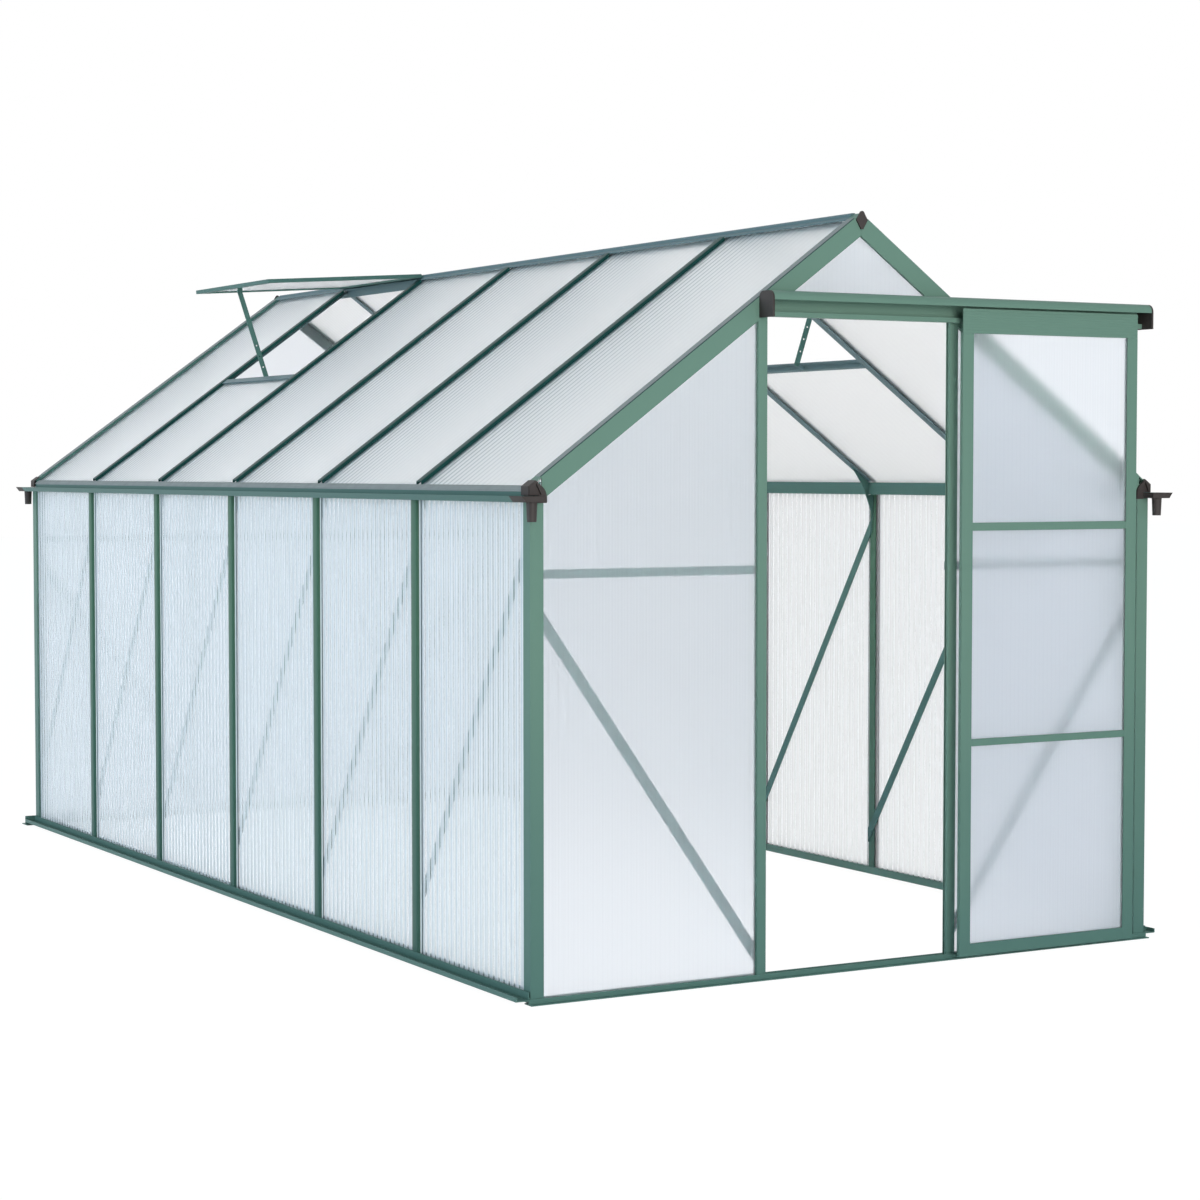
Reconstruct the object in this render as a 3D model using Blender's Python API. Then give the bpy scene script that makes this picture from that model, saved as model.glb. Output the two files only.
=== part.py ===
"""Walk-in garden greenhouse: coated aluminium frame, twin-wall panes, a hung sliding door and two roof vents.

Metres, +Z up, the door gable faces -Y. The origin is the middle of the footprint, on the ground.
Building coordinates are used throughout: x from the gable's centre line, y from the front gable
plane, z from the ground. One empty carries the building to its place over the origin.
"""

import math

import bmesh
import bpy
from mathutils import Vector

LEFT = -1
RIGHT = 1

# Overall sizes
BAY = 0.610
SIDE_BAYS = 6
GABLE_WIDTH = 1.835
EAVE_HEIGHT = 1.197
RIDGE_HEIGHT = 1.860

# Stock and clearances
GAP = 0.0003
WALL = 0.0025
PANE = 0.004
BITE = 0.001
SLIVER = 0.000002

# Glazing bars: a capped T section whose cap stands proud of the pane
BAR_WIDTH = 0.028
BAR_PROUD = 0.003
BAR_WEB = 0.003
CAP_LEG = 0.002
CAP_CHAMFER = 0.001
PANE_RECESS = 0.0095
PANE_TUCK = 0.0165

# Corner posts, rafters and door jambs
POST_DEPTH = 0.033
POST_WIDTH = 0.0351
RAFTER_DEPTH = 0.045
RAFTER_WIDTH = 0.033
JAMB_INSET = 0.0218
JAMB_WIDTH = 0.026

# Sills
SIDE_LEDGE = 0.038
SIDE_SILL_LIFT = 0.010
SIDE_SILL_LIP = 0.011
SIDE_SILL_HEIGHT = 0.031
SIDE_SILL_BACK = 0.0325
FRONT_LEDGE = 0.0155
FRONT_SILL_HEIGHT = 0.014
FRONT_SILL_OVERLAP = 0.0055

# Gutters and their corner pieces
EAVE_TO_GUTTER = 0.037
GUTTER_RIM = 0.0145
GUTTER_REACH = 0.0455
GUTTER_SLANT = 0.011
EAVE_BEAM_DROP = 0.001
EAVE_BACK = 0.0305
EAVE_LIP = 0.0125
CAP_FRONT = 0.045
CAP_BACK = 0.018
CAP_INNER = 0.0205
CAP_PLATE = 0.006
CAP_POCKET_DEPTH = 0.0045
CAP_POCKET_START = 0.002
CAP_POCKET_END = 0.027
CAP_POCKET_RIM = 0.0055
CAP_PLATE_WIDTH = 0.0407
CAP_PLATE_RISE = 0.012
CAP_PLATE_ROUND = 0.030
SPOUT_OFFSET = 0.0086
SPOUT_FORWARD = 0.025
SPOUT_TOP_RADIUS = 0.013
SPOUT_FOOT_RADIUS = 0.011
SPOUT_WALL = 0.0022
SPOUT_DROP = 0.045

# Ties, braces and knee plates
TIE_DROP = 0.1767
TIE_HEIGHT = 0.021
BRACE_THICKNESS = 0.003
SIDE_BRACE_WIDTH = 0.024
SIDE_BRACE_DROP = 0.0897
SIDE_BRACE_FOOT = 0.128
GABLE_BRACE_WIDTH = 0.027
GABLE_BRACE_DROP = 0.2647
GABLE_BRACE_FOOT = 0.042
BOLT_RADIUS = 0.006
BOLT_HEAD = 0.0015
KNEE_THICKNESS = 0.003
KNEE_DROP = 0.0747
KNEE_REACH = 0.070

# Ridge and its caps
RIDGE_HALF_WIDTH = 0.018
RIDGE_WEB_DROP = 0.038
RIDGE_SPINE_HALF = 0.008
RIDGE_SPINE_RISE = 0.0025
RIDGE_CAP_HALF = 0.0165
RIDGE_CAP_RISE = 0.005
RIDGE_CAP_DROP = 0.0395
RIDGE_CAP_SHOULDER_DROP = 0.017
RIDGE_CAP_TOE = 0.003
RIDGE_CAP_THICKNESS = 0.0045
RIDGE_CAP_ROUND = 0.006

# Door track, a hooded channel on the face of the gable
TRACK_PAST_JAMB = 0.0055
TRACK_PAST_DOOR = 0.038
TRACK_OVER_ROOF = 0.00625
TRACK_HEIGHT = 0.061
TRACK_REACH = 0.060
TRACK_WALL = 0.0022
HOOD_FRONT_RADIUS = 0.020
HOOD_BACK_RADIUS = 0.015
HOOD_LIP = 0.0025
RAIL_FORWARD = 0.022
RAIL_HEIGHT = 0.012
TRACK_CAP = 0.0055

# Door
DOOR_START = 0.0095
DOOR_LAP = 0.004
DOOR_FRONT = 0.050
DOOR_DEPTH = 0.011
DOOR_SKIN = 0.002
DOOR_BOTTOM = 0.013
STILE_WIDTH = 0.033
BOTTOM_RAIL_HEIGHT = 0.031
LOWER_RAIL_HEIGHT = 0.018
LOWER_RAIL_BOTTOM = 0.542
UPPER_RAIL_HEIGHT = 0.020
TOP_LIGHT = 0.491
HANGER_DROP = 0.027
HANGER_HEIGHT = 0.061
HANGER_GROOVES = 8
HANGER_GROOVE_DEPTH = 0.0006
HANGER_GROOVE_WIDTH = 0.0024
WHEEL_INSET = 0.060
WHEEL_GROOVE_RADIUS = 0.0092
WHEEL_RADIUS = 0.0125
WHEEL_HALF_WIDTH = 0.004
AXLE_RADIUS = 0.003
AXLE_SHOULDER = 0.006
AXLE_HEAD = 0.002

# Roof vents
LEFT_VENT_BAY = 5
HINGE_FROM_RIDGE = 0.0127
HINGE_RISE = 0.0047
BEAD_RADIUS = 0.0043
LEAF_LENGTH = 0.534
LEAF_OVERLAP = 0.004
LEAF_RAIL = 0.022
LEAF_UNDER = 0.0041
LEAF_OVER = 0.0079
LEAF_OPEN = math.radians(32.1)
VENT_SILL_BELOW_LEAF = 0.036
VENT_SILL_WIDTH = 0.028
VENT_SILL_DEPTH = 0.017
STAY_PIVOT_FROM_TOE = 0.029
STAY_PIVOT_BELOW = 0.014
STAY_PEG_PAST_SILL = 0.0348
STAY_PEG_DEPTH = 0.0167
STAY_WIDTH = 0.016
STAY_THICKNESS = 0.003
STAY_HOLES = 4
STAY_HOLE_RADIUS = 0.0028
LUG_REACH = 0.008
LUG_LENGTH = 0.036
LUG_DEPTH = 0.026

# Sizes that follow from those above
HALF_WIDTH = GABLE_WIDTH / 2
LENGTH = BAY * SIDE_BAYS
SLOPE = (RIDGE_HEIGHT - EAVE_HEIGHT) / HALF_WIDTH
PITCH = math.atan(SLOPE)
COS = math.cos(PITCH)
SIN = math.sin(PITCH)
SLOPE_LENGTH = HALF_WIDTH / COS
LEAF_DROOP = PITCH - LEAF_OPEN
RIGHT_VENT_BAY = SIDE_BAYS + 1 - LEFT_VENT_BAY
STAY_PIVOT_ALONG = LEAF_LENGTH - STAY_PIVOT_FROM_TOE
GUTTER_FLOOR = EAVE_HEIGHT - EAVE_TO_GUTTER
GUTTER_LIP = GUTTER_FLOOR + GUTTER_RIM
EAVE_BEAM_TOP = EAVE_HEIGHT - EAVE_BEAM_DROP
CAP_PLATE_TOP = EAVE_HEIGHT + CAP_PLATE_RISE
SPOUT_FOOT = GUTTER_FLOOR - SPOUT_DROP
BAR_DEPTH = PANE_RECESS + PANE + GAP + WALL
BAR_FACE = BAR_DEPTH - BAR_PROUD
PANE_FACE = PANE_RECESS - BAR_PROUD
BRACE_FACE = BAR_FACE + GAP + BRACE_THICKNESS
FRAME_FOOT = WALL + GAP
SIDE_FOOT = SIDE_SILL_LIFT + WALL + GAP
FRAME_TOP = GUTTER_FLOOR - GAP
GABLE_FACE = BAR_DEPTH + GAP
TIE_BOTTOM = FRAME_TOP - TIE_DROP
SIDE_BRACE_TOP = FRAME_TOP - SIDE_BRACE_DROP
GABLE_BRACE_TOP = FRAME_TOP - GABLE_BRACE_DROP
KNEE_FOOT = FRAME_TOP - KNEE_DROP
JAMB_OFFSET = GABLE_WIDTH / 6 - JAMB_INSET
MIDDLE_Y = (LENGTH + CAP_FRONT - TRACK_REACH) / 2
DOOR_LEFT = JAMB_OFFSET - DOOR_START
DOOR_WIDTH = 2 * (JAMB_OFFSET - DOOR_LAP)
DOOR_RIGHT = DOOR_LEFT + DOOR_WIDTH
TRACK_START = -JAMB_OFFSET - TRACK_PAST_JAMB
TRACK_END = DOOR_RIGHT + TRACK_PAST_DOOR
TRACK_TOP = RIDGE_HEIGHT - SLOPE * JAMB_OFFSET + TRACK_OVER_ROOF
TRACK_BOTTOM = TRACK_TOP - TRACK_HEIGHT
RAIL_TOP = TRACK_BOTTOM + RAIL_HEIGHT
HANGER_TOP = TRACK_TOP - HANGER_DROP
HANGER_BOTTOM = HANGER_TOP - HANGER_HEIGHT
UPPER_RAIL_BOTTOM = HANGER_BOTTOM - TOP_LIGHT
DOOR_MIDDLE = DOOR_LEFT + DOOR_WIDTH / 2
DOOR_BACK = DOOR_FRONT - DOOR_DEPTH
DOOR_PANE = (DOOR_FRONT + DOOR_BACK - PANE) / 2
WHEEL_HEIGHT = RAIL_TOP + GAP + WHEEL_GROOVE_RADIUS
WHEEL_FORWARD = RAIL_FORWARD - WALL / 2
HINGE_X = HALF_WIDTH - HINGE_FROM_RIDGE
HINGE_Z = EAVE_HEIGHT + SLOPE * HINGE_X + HINGE_RISE / COS
VENT_SILL_START = SLOPE_LENGTH - LEAF_LENGTH - VENT_SILL_BELOW_LEAF


def material(name, color, metallic, roughness, alpha=1.0):
    """A plain Principled material."""
    made = bpy.data.materials.new(name)
    made.use_nodes = True
    shader = made.node_tree.nodes["Principled BSDF"]
    shader.inputs["Base Color"].default_value = (*color, 1.0)
    shader.inputs["Metallic"].default_value = metallic
    shader.inputs["Roughness"].default_value = roughness
    shader.inputs["Alpha"].default_value = alpha
    return made


def empty(name, location, parent=None):
    """A parent empty, placed in building coordinates relative to its own parent."""
    made = bpy.data.objects.new(name, None)
    bpy.context.scene.collection.objects.link(made)
    made.parent = parent
    made.location = location
    return made


def swept(outline, place, start, end):
    """A closed prism of an outline of (a, b) points, swept from start to end.

    place turns (a, b, reach) into a point. start and end are numbers, or functions of (a, b)
    where the end is cut on a slant.
    """
    shape = bmesh.new()
    rings = []
    for reach in (start, end):
        ring = []
        for a, b in outline:
            along = reach(a, b) if callable(reach) else reach
            ring.append(shape.verts.new(place(a, b, along)))
        rings.append(ring)
    shape.faces.new(rings[0])
    shape.faces.new(list(reversed(rings[1])))
    for i in range(len(outline)):
        j = (i + 1) % len(outline)
        shape.faces.new((rings[0][j], rings[0][i], rings[1][i], rings[1][j]))
    return finished(shape)


def finished(shape):
    """Turn a bmesh into a mesh with its faces pointing out."""
    bmesh.ops.recalc_face_normals(shape, faces=shape.faces)
    mesh = bpy.data.meshes.new("shape")
    shape.to_mesh(mesh)
    shape.free()
    return mesh


def box(low, high):
    """A closed box between two corners."""
    outline = [(low[0], low[1]), (high[0], low[1]), (high[0], high[1]), (low[0], high[1])]
    return swept(outline, lambda x, y, z: Vector((x, y, z)), low[2], high[2])


def turned(profile, center, axis, sides=20):
    """A closed solid of revolution from (along, radius) points, with flat ends."""
    shape = bmesh.new()
    axis = Vector(axis).normalized()
    across = axis.orthogonal().normalized()
    beside = axis.cross(across)
    rings = []
    for along, radius in profile:
        ring = []
        for i in range(sides):
            angle = math.tau * i / sides
            out = across * math.cos(angle) + beside * math.sin(angle)
            ring.append(shape.verts.new(Vector(center) + axis * along + out * radius))
        rings.append(ring)
    shape.faces.new(rings[0])
    shape.faces.new(rings[-1])
    for low, high in zip(rings, rings[1:]):
        for i in range(sides):
            j = (i + 1) % sides
            shape.faces.new((low[i], low[j], high[j], high[i]))
    return finished(shape)


def rod(start, end, radius, sides=16):
    """A round rod between two points."""
    start = Vector(start)
    reach = Vector(end) - start
    return turned([(0.0, radius), (reach.length, radius)], start, reach, sides)


def combined(first, others, operation="UNION"):
    """Join meshes to the first one, or cut them from it, as exact solids."""
    base = bpy.data.objects.new("base", first)
    bpy.context.scene.collection.objects.link(base)
    for mesh in others:
        tool = bpy.data.objects.new("tool", mesh)
        bpy.context.scene.collection.objects.link(tool)
        step = base.modifiers.new("join", "BOOLEAN")
        step.operation = operation
        step.solver = "EXACT"
        step.object = tool
        bpy.context.view_layer.update()
        made = base.evaluated_get(bpy.context.evaluated_depsgraph_get())
        result = bpy.data.meshes.new_from_object(made)
        base.modifiers.clear()
        base.data = result
        bpy.data.objects.remove(tool)
    mesh = base.data
    bpy.data.objects.remove(base)
    shape = bmesh.new()
    shape.from_mesh(mesh)
    bmesh.ops.remove_doubles(shape, verts=shape.verts, dist=SLIVER)
    bmesh.ops.dissolve_degenerate(shape, edges=shape.edges, dist=SLIVER)
    shape.to_mesh(mesh)
    shape.free()
    return mesh


def fused(*meshes):
    """One closed body from meshes that overlap."""
    return combined(meshes[0], meshes[1:])


def drilled(mesh, *cutters):
    """A mesh with cutters taken out of it."""
    return combined(mesh, cutters, "DIFFERENCE")


def piece(name, mesh, finish, parent, origin=(0.0, 0.0, 0.0)):
    """A named object of a mesh in building coordinates, with its origin where it is held."""
    origin = Vector(origin)
    for vertex in mesh.vertices:
        vertex.co -= origin
    mesh.name = name
    mesh.materials.clear()
    mesh.materials.append(finish)
    made = bpy.data.objects.new(name, mesh)
    bpy.context.scene.collection.objects.link(made)
    made.parent = parent
    base = Vector((0.0, 0.0, 0.0))
    if parent.parent:
        base = parent.location
    made.location = origin - base
    mesh.shade_smooth()
    mesh.set_sharp_from_angle(angle=math.radians(30))
    return made


def inward(side, reach):
    """The x of a point that lies a reach inside a side wall's outer plane."""
    return side * (HALF_WIDTH - reach)


def bar_y(number):
    """The y of a glazing bar; 0 is the front gable."""
    return BAY * number


def wall_place(side, y):
    """Places (across, depth, height) on a side wall, where depth 0 is a bar cap's outer face."""
    return lambda a, d, z: Vector((inward(side, d - BAR_PROUD), y + a, z))


def roof_point(side, along, depth, y):
    """A point by its way up a roof slope from the eave and its depth under the bar caps."""
    reach = along * COS + depth * SIN
    return Vector((inward(side, reach), y, EAVE_HEIGHT + along * SIN - depth * COS))


def roof_place(side, y):
    """Places (across, depth, way up the slope) on a roof slope."""
    return lambda a, d, t: roof_point(side, t, d, y + a)


def plumb(reach):
    """The way up the slope at which a plumb cut, a reach inside the wall plane, meets a depth."""
    return lambda a, d: (reach - d * SIN) / COS


def gable_y(end, depth):
    """The y at a depth behind the outer face of the front (0) or rear (1) gable."""
    return LENGTH - depth if end else depth


def gable_place(end):
    """Places (x, z, depth) on a gable."""
    return lambda x, z, depth: Vector((x, gable_y(end, depth), z))


def roof_z(x, depth=0.0):
    """The height of the roof at x, at a depth square to the slope."""
    return RIDGE_HEIGHT - SLOPE * abs(x) - depth / COS


def eave_z(reach, depth):
    """The height of the roof at a reach inside the wall plane, at a depth square to the slope."""
    return EAVE_HEIGHT + SLOPE * reach - depth / COS


def bar_outline(width):
    """Half-open cap, web and inner flange of a glazing bar, as (across, depth)."""
    half = width / 2
    flange = BAR_DEPTH - WALL
    leg = PANE_RECESS - GAP
    right = [
        (half - CAP_CHAMFER, 0.0),
        (half, CAP_CHAMFER),
        (half, leg),
        (half - CAP_LEG, leg),
        (half - CAP_LEG, WALL),
        (BAR_WEB / 2, WALL),
        (BAR_WEB / 2, flange),
        (half, flange),
        (half, BAR_DEPTH),
    ]
    return right + [(-a, d) for a, d in reversed(right)]


def strip_outline(start, end, width):
    """A flat strip between two points, with its ends cut plumb."""
    run = end[0] - start[0]
    half = width / 2 * math.hypot(1.0, (end[1] - start[1]) / run)
    return [
        (start[0], start[1] - half),
        (end[0], end[1] - half),
        (end[0], end[1] + half),
        (start[0], start[1] + half),
    ]


def arc(center, radius, start, end, steps):
    """Points along an arc, angles in degrees."""
    points = []
    for i in range(steps + 1):
        angle = math.radians(start + (end - start) * i / steps)
        points.append((center[0] + radius * math.cos(angle), center[1] + radius * math.sin(angle)))
    return points


def sill_outline(ledge, height):
    """Ledge, floor and outer web of a gable's sill."""
    back = BAR_DEPTH + GAP + WALL
    return [
        (-ledge, 0.0),
        (back, 0.0),
        (back, WALL),
        (-GAP, WALL),
        (-GAP, height),
        (-GAP - WALL, height),
        (-GAP - WALL, WALL),
        (-ledge, WALL),
    ]


def side_sill(side):
    """The raised sill under a side wall: outer web, lipped ledge, and a channel between the posts."""
    floor = SIDE_SILL_LIFT + WALL
    web = -BAR_PROUD - GAP
    back = BAR_FACE + GAP
    lip = SIDE_SILL_LIFT + SIDE_SILL_LIP
    outer = [
        (-SIDE_LEDGE, SIDE_SILL_LIFT),
        (web, SIDE_SILL_LIFT),
        (web, SIDE_SILL_HEIGHT),
        (web - WALL, SIDE_SILL_HEIGHT),
        (web - WALL, floor),
        (WALL - SIDE_LEDGE, floor),
        (WALL - SIDE_LEDGE, lip),
        (-SIDE_LEDGE, lip),
    ]
    inset = BITE / 2
    channel = [
        (web - BITE, SIDE_SILL_LIFT + inset),
        (back + WALL, SIDE_SILL_LIFT + inset),
        (back + WALL, SIDE_SILL_BACK),
        (back, SIDE_SILL_BACK),
        (back, floor - inset),
        (web - BITE, floor - inset),
    ]
    place = lambda a, b, y: Vector((inward(side, a), y, b))
    end = POST_DEPTH + GAP
    return fused(swept(outer, place, 0.0, LENGTH), swept(channel, place, end, LENGTH - end))


def gable_sill(end):
    """The sill under a gable; the front one is low, as the threshold of the door."""
    if end:
        outline = sill_outline(SIDE_LEDGE, SIDE_SILL_HEIGHT)
        reach = HALF_WIDTH + SIDE_LEDGE
    else:
        outline = sill_outline(FRONT_LEDGE, FRONT_SILL_HEIGHT)
        reach = HALF_WIDTH + FRONT_SILL_OVERLAP
    place = lambda a, b, x: Vector((x, gable_y(end, a), b))
    back = BAR_DEPTH + GAP
    upstand = [
        (back, WALL - BITE),
        (back + WALL, WALL - BITE),
        (back + WALL, FRONT_SILL_HEIGHT),
        (back, FRONT_SILL_HEIGHT),
    ]
    inner = HALF_WIDTH - POST_WIDTH - WALL
    return fused(swept(outline, place, -reach, reach), swept(upstand, place, -inner, inner))


def wall_pane(side, number, carried_by_post=False):
    """The pane between bar number - 1 and bar number of a side wall."""
    edge = BAR_WEB / 2 + GAP
    start = bar_y(number - 1) + (edge if number > 1 else PANE_TUCK)
    end = LENGTH - PANE_TUCK if carried_by_post else bar_y(number) - BAR_WEB / 2 + BITE
    outline = [
        (start, SIDE_FOOT),
        (end, SIDE_FOOT),
        (end, FRAME_TOP),
        (start, FRAME_TOP),
    ]
    place = lambda y, z, reach: Vector((inward(side, reach), y, z))
    return swept(outline, place, PANE_FACE, PANE_FACE + PANE)


def side_brace(side, number):
    """The strip brace of a side bay, high at the front, low at the rear, on the bars' inner faces."""
    start = BAR_WEB / 2 + BITE if number > 1 else POST_DEPTH + GAP
    end = bar_y(number) + BAR_WIDTH / 2 - BITE if number < SIDE_BAYS else LENGTH - WALL + BITE
    outline = strip_outline(
        (bar_y(number - 1) + start, SIDE_BRACE_TOP), (end, SIDE_BRACE_FOOT), SIDE_BRACE_WIDTH
    )
    place = lambda y, z, reach: Vector((inward(side, reach), y, z))
    return swept(outline, place, BAR_FACE + GAP, BRACE_FACE)


def knee_plate(side, y):
    """The plate that ties a wall bar to its roof bar, with a hollow inner edge."""
    foot = BAR_FACE - WALL / 2
    beam = EAVE_BACK + GAP
    tip = beam + KNEE_REACH
    under = (BAR_DEPTH + GAP) / COS

    def bar_under(reach):
        return EAVE_HEIGHT + SLOPE * reach - under

    start = Vector((tip, bar_under(tip)))
    hollow = Vector((beam + KNEE_REACH / 5, bar_under(beam) - WALL))
    end = Vector((BAR_FACE + BITE, KNEE_FOOT))
    outline = [(foot, KNEE_FOOT), (foot, FRAME_TOP - BITE), (beam, FRAME_TOP - BITE), (beam, bar_under(beam))]
    steps = 7
    for i in range(steps + 1):
        share = i / steps
        point = start.lerp(hollow, share).lerp(hollow.lerp(end, share), share)
        outline.append((point.x, point.y))
    place = lambda reach, z, across: Vector((inward(side, reach), y + across, z))
    return swept(outline, place, -KNEE_THICKNESS / 2, KNEE_THICKNESS / 2)


def wall_bolt(side, y, z):
    """The bolt that holds a brace foot to a bar's inner face."""
    start = (inward(side, BAR_FACE - WALL), y, z)
    end = (inward(side, BRACE_FACE + BOLT_HEAD), y, z)
    return rod(start, end, BOLT_RADIUS)


def wall_bar(side, number):
    """A wall glazing bar with the pane, brace and knee plate that it carries."""
    y = bar_y(number)
    bar = swept(bar_outline(BAR_WIDTH), wall_place(side, y), SIDE_FOOT, FRAME_TOP)
    bolt_z = SIDE_BRACE_FOOT + SIDE_BRACE_WIDTH / 2
    return fused(
        bar,
        wall_pane(side, number),
        side_brace(side, number),
        wall_bolt(side, y, bolt_z),
        knee_plate(side, y),
    )


def post_outline(lip):
    """A corner post: an angle with a return web behind its gable face and a lip at its side face."""
    return [
        (0.0, 0.0),
        (POST_WIDTH, 0.0),
        (POST_WIDTH, POST_DEPTH),
        (POST_WIDTH - WALL, POST_DEPTH),
        (POST_WIDTH - WALL, WALL),
        (WALL, WALL),
        (WALL, POST_DEPTH - WALL),
        (lip, POST_DEPTH - WALL),
        (lip, POST_DEPTH),
        (0.0, POST_DEPTH),
    ]


def corner_post(side, end):
    """A corner post; a rear one carries the last side pane and brace."""
    lip = PANE_FACE + BITE if end else PANE_FACE - GAP
    place = lambda a, b, z: Vector((inward(side, a), gable_y(end, b), z))
    post = swept(post_outline(lip), place, FRAME_FOOT, FRAME_TOP)
    if not end:
        return post
    return fused(post, wall_pane(side, SIDE_BAYS, True), side_brace(side, SIDE_BAYS))


def roof_bar(side, number):
    """A roof glazing bar with the pane of the bay in front of it, short where a vent takes its place."""
    y = bar_y(number)
    outline = bar_outline(BAR_WIDTH)
    cap = [point for point in outline if point[1] <= PANE_RECESS]
    flat = BAR_DEPTH - WALL
    half = BAR_WIDTH / 2
    web = BAR_WEB / 2
    stem = [
        (web, WALL - BITE),
        (web, flat),
        (half, flat),
        (half, BAR_DEPTH),
        (-half, BAR_DEPTH),
        (-half, flat),
        (-web, flat),
        (-web, WALL - BITE),
    ]
    cap = [point for point in cap if abs(point[0]) > web]
    top = plumb(HALF_WIDTH - RIDGE_HALF_WIDTH - GAP)
    coped = plumb(HALF_WIDTH - RIDGE_HALF_WIDTH - BAR_PROUD)
    inner_top = plumb(HALF_WIDTH - BAR_WEB / 2 - GAP)
    stem_top = lambda a, d: coped(a, d) if d < WALL else inner_top(a, d)
    place = roof_place(side, y)
    pieces = [
        swept(cap, place, plumb(EAVE_LIP + GAP), top),
        swept(stem, place, plumb(EAVE_BACK + GAP), stem_top),
        roof_pane(side, number),
    ]
    if number == vent_bay(side):
        pieces += [vent_sill(side, number), vent_sill_lug(side, number)]
    return fused(*pieces)


def vent_bay(side):
    """The roof bay that holds a side's vent."""
    return LEFT_VENT_BAY if side == LEFT else RIGHT_VENT_BAY


def roof_pane(side, number):
    """The pane of a roof bay, carried by the bar behind it or by the rear rafter."""
    edge = BAR_WEB / 2 + GAP
    start = bar_y(number - 1) + (edge if number > 1 else PANE_TUCK)
    end = bar_y(number) - BAR_WEB / 2 + BITE
    if number == SIDE_BAYS:
        end = LENGTH - RAFTER_WIDTH + WALL - BITE
    foot = plumb(WALL + GAP)
    top = plumb(HALF_WIDTH - BAR_WEB / 2 - GAP)
    if number == vent_bay(side):
        top = VENT_SILL_START + PANE
    outline = [
        (start, PANE_RECESS),
        (end, PANE_RECESS),
        (end, PANE_RECESS + PANE),
        (start, PANE_RECESS + PANE),
    ]
    return swept(outline, roof_place(side, 0.0), foot, top)


def vent_sill(side, number):
    """The bar across a vent opening's foot, which seats the closed leaf."""
    start = VENT_SILL_START
    web = start + VENT_SILL_WIDTH / 4
    top = WALL - BITE / 2
    outline = [
        (start - WALL, top),
        (start + VENT_SILL_WIDTH - WALL, top),
        (start + VENT_SILL_WIDTH - WALL, top + WALL),
        (web, top + WALL),
        (web, VENT_SILL_DEPTH),
        (start - WALL, VENT_SILL_DEPTH),
        (start - WALL, VENT_SILL_DEPTH - WALL),
        (web - WALL, VENT_SILL_DEPTH - WALL),
        (web - WALL, top + WALL),
        (start - WALL, top + WALL),
    ]
    front = bar_y(number - 1) + BAR_WIDTH / 2 + GAP
    rear = bar_y(number) - BAR_WEB / 2 + BITE
    return swept(outline, lambda t, d, y: roof_point(side, t, d, y), front, rear)


def vent_sill_lug(side, number):
    """The lug on a vent sill that the foot of the stay hooks on."""
    y = bar_y(number) - BAY / 2 + STAY_THICKNESS / 2 + GAP
    start = VENT_SILL_START + VENT_SILL_WIDTH / 4 - BITE
    outline = [
        (start, LUG_REACH),
        (start + LUG_LENGTH, LUG_REACH),
        (start + LUG_LENGTH, LUG_DEPTH),
        (start, VENT_SILL_DEPTH - BITE),
    ]
    return swept(outline, lambda t, d, across: roof_point(side, t, d, y + across), 0.0, WALL)


def rafter(side, end):
    """A gable rafter: face and top flange with glazing lips; a rear one carries the last roof pane."""
    top_outline = [
        (0.0, 0.0),
        (RAFTER_WIDTH, 0.0),
        (RAFTER_WIDTH, PANE_RECESS - GAP),
        (RAFTER_WIDTH - WALL, PANE_RECESS - GAP),
        (RAFTER_WIDTH - WALL, WALL),
        (0.0, WALL),
    ]
    face_outline = [
        (0.0, WALL - BITE),
        (WALL, WALL - BITE),
        (WALL, RAFTER_DEPTH - WALL),
        (PANE_RECESS - GAP, RAFTER_DEPTH - WALL),
        (PANE_RECESS - GAP, RAFTER_DEPTH),
        (0.0, RAFTER_DEPTH),
    ]
    place = lambda a, d, t: roof_point(side, t, d, gable_y(end, a))
    meet = plumb(HALF_WIDTH - GAP / 2)
    pieces = [
        swept(top_outline, place, plumb(BAR_PROUD), meet),
        swept(face_outline, place, plumb(EAVE_BACK + GAP), meet),
    ]
    if end:
        pane = roof_pane(side, SIDE_BAYS)
        seat = [
            (RAFTER_WIDTH - WALL, PANE_RECESS - BITE),
            (RAFTER_WIDTH, PANE_RECESS - BITE),
            (RAFTER_WIDTH, PANE_RECESS + BITE),
            (RAFTER_WIDTH - WALL, PANE_RECESS + BITE),
        ]
        pieces += [swept(seat, place, plumb(EAVE_BACK + GAP), plumb(HALF_WIDTH - RIDGE_HALF_WIDTH)), pane]
    return fused(*pieces)


def gable_member(x, end):
    """A door jamb or rear stud, cut to the rafter's slope at its top."""
    outline = bar_outline(JAMB_WIDTH)
    place = lambda a, d, z: Vector((x + a, gable_y(end, d), z))
    top = lambda a, d: roof_z(x + a, RAFTER_DEPTH) - GAP
    return swept(outline, place, FRAME_FOOT, top)


def gable_side_pane(side, end):
    """The pane between a corner post and the nearest jamb or stud."""
    outer = HALF_WIDTH - POST_WIDTH - GAP
    inner = JAMB_OFFSET + BAR_WEB / 2 - BITE
    top = PANE_RECESS + WALL + GAP
    outline = [
        (side * outer, FRAME_FOOT),
        (side * inner, FRAME_FOOT),
        (side * inner, roof_z(inner, top)),
        (side * outer, roof_z(outer, top)),
    ]
    return swept(outline, gable_place(end), PANE_RECESS, PANE_RECESS + PANE)


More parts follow.
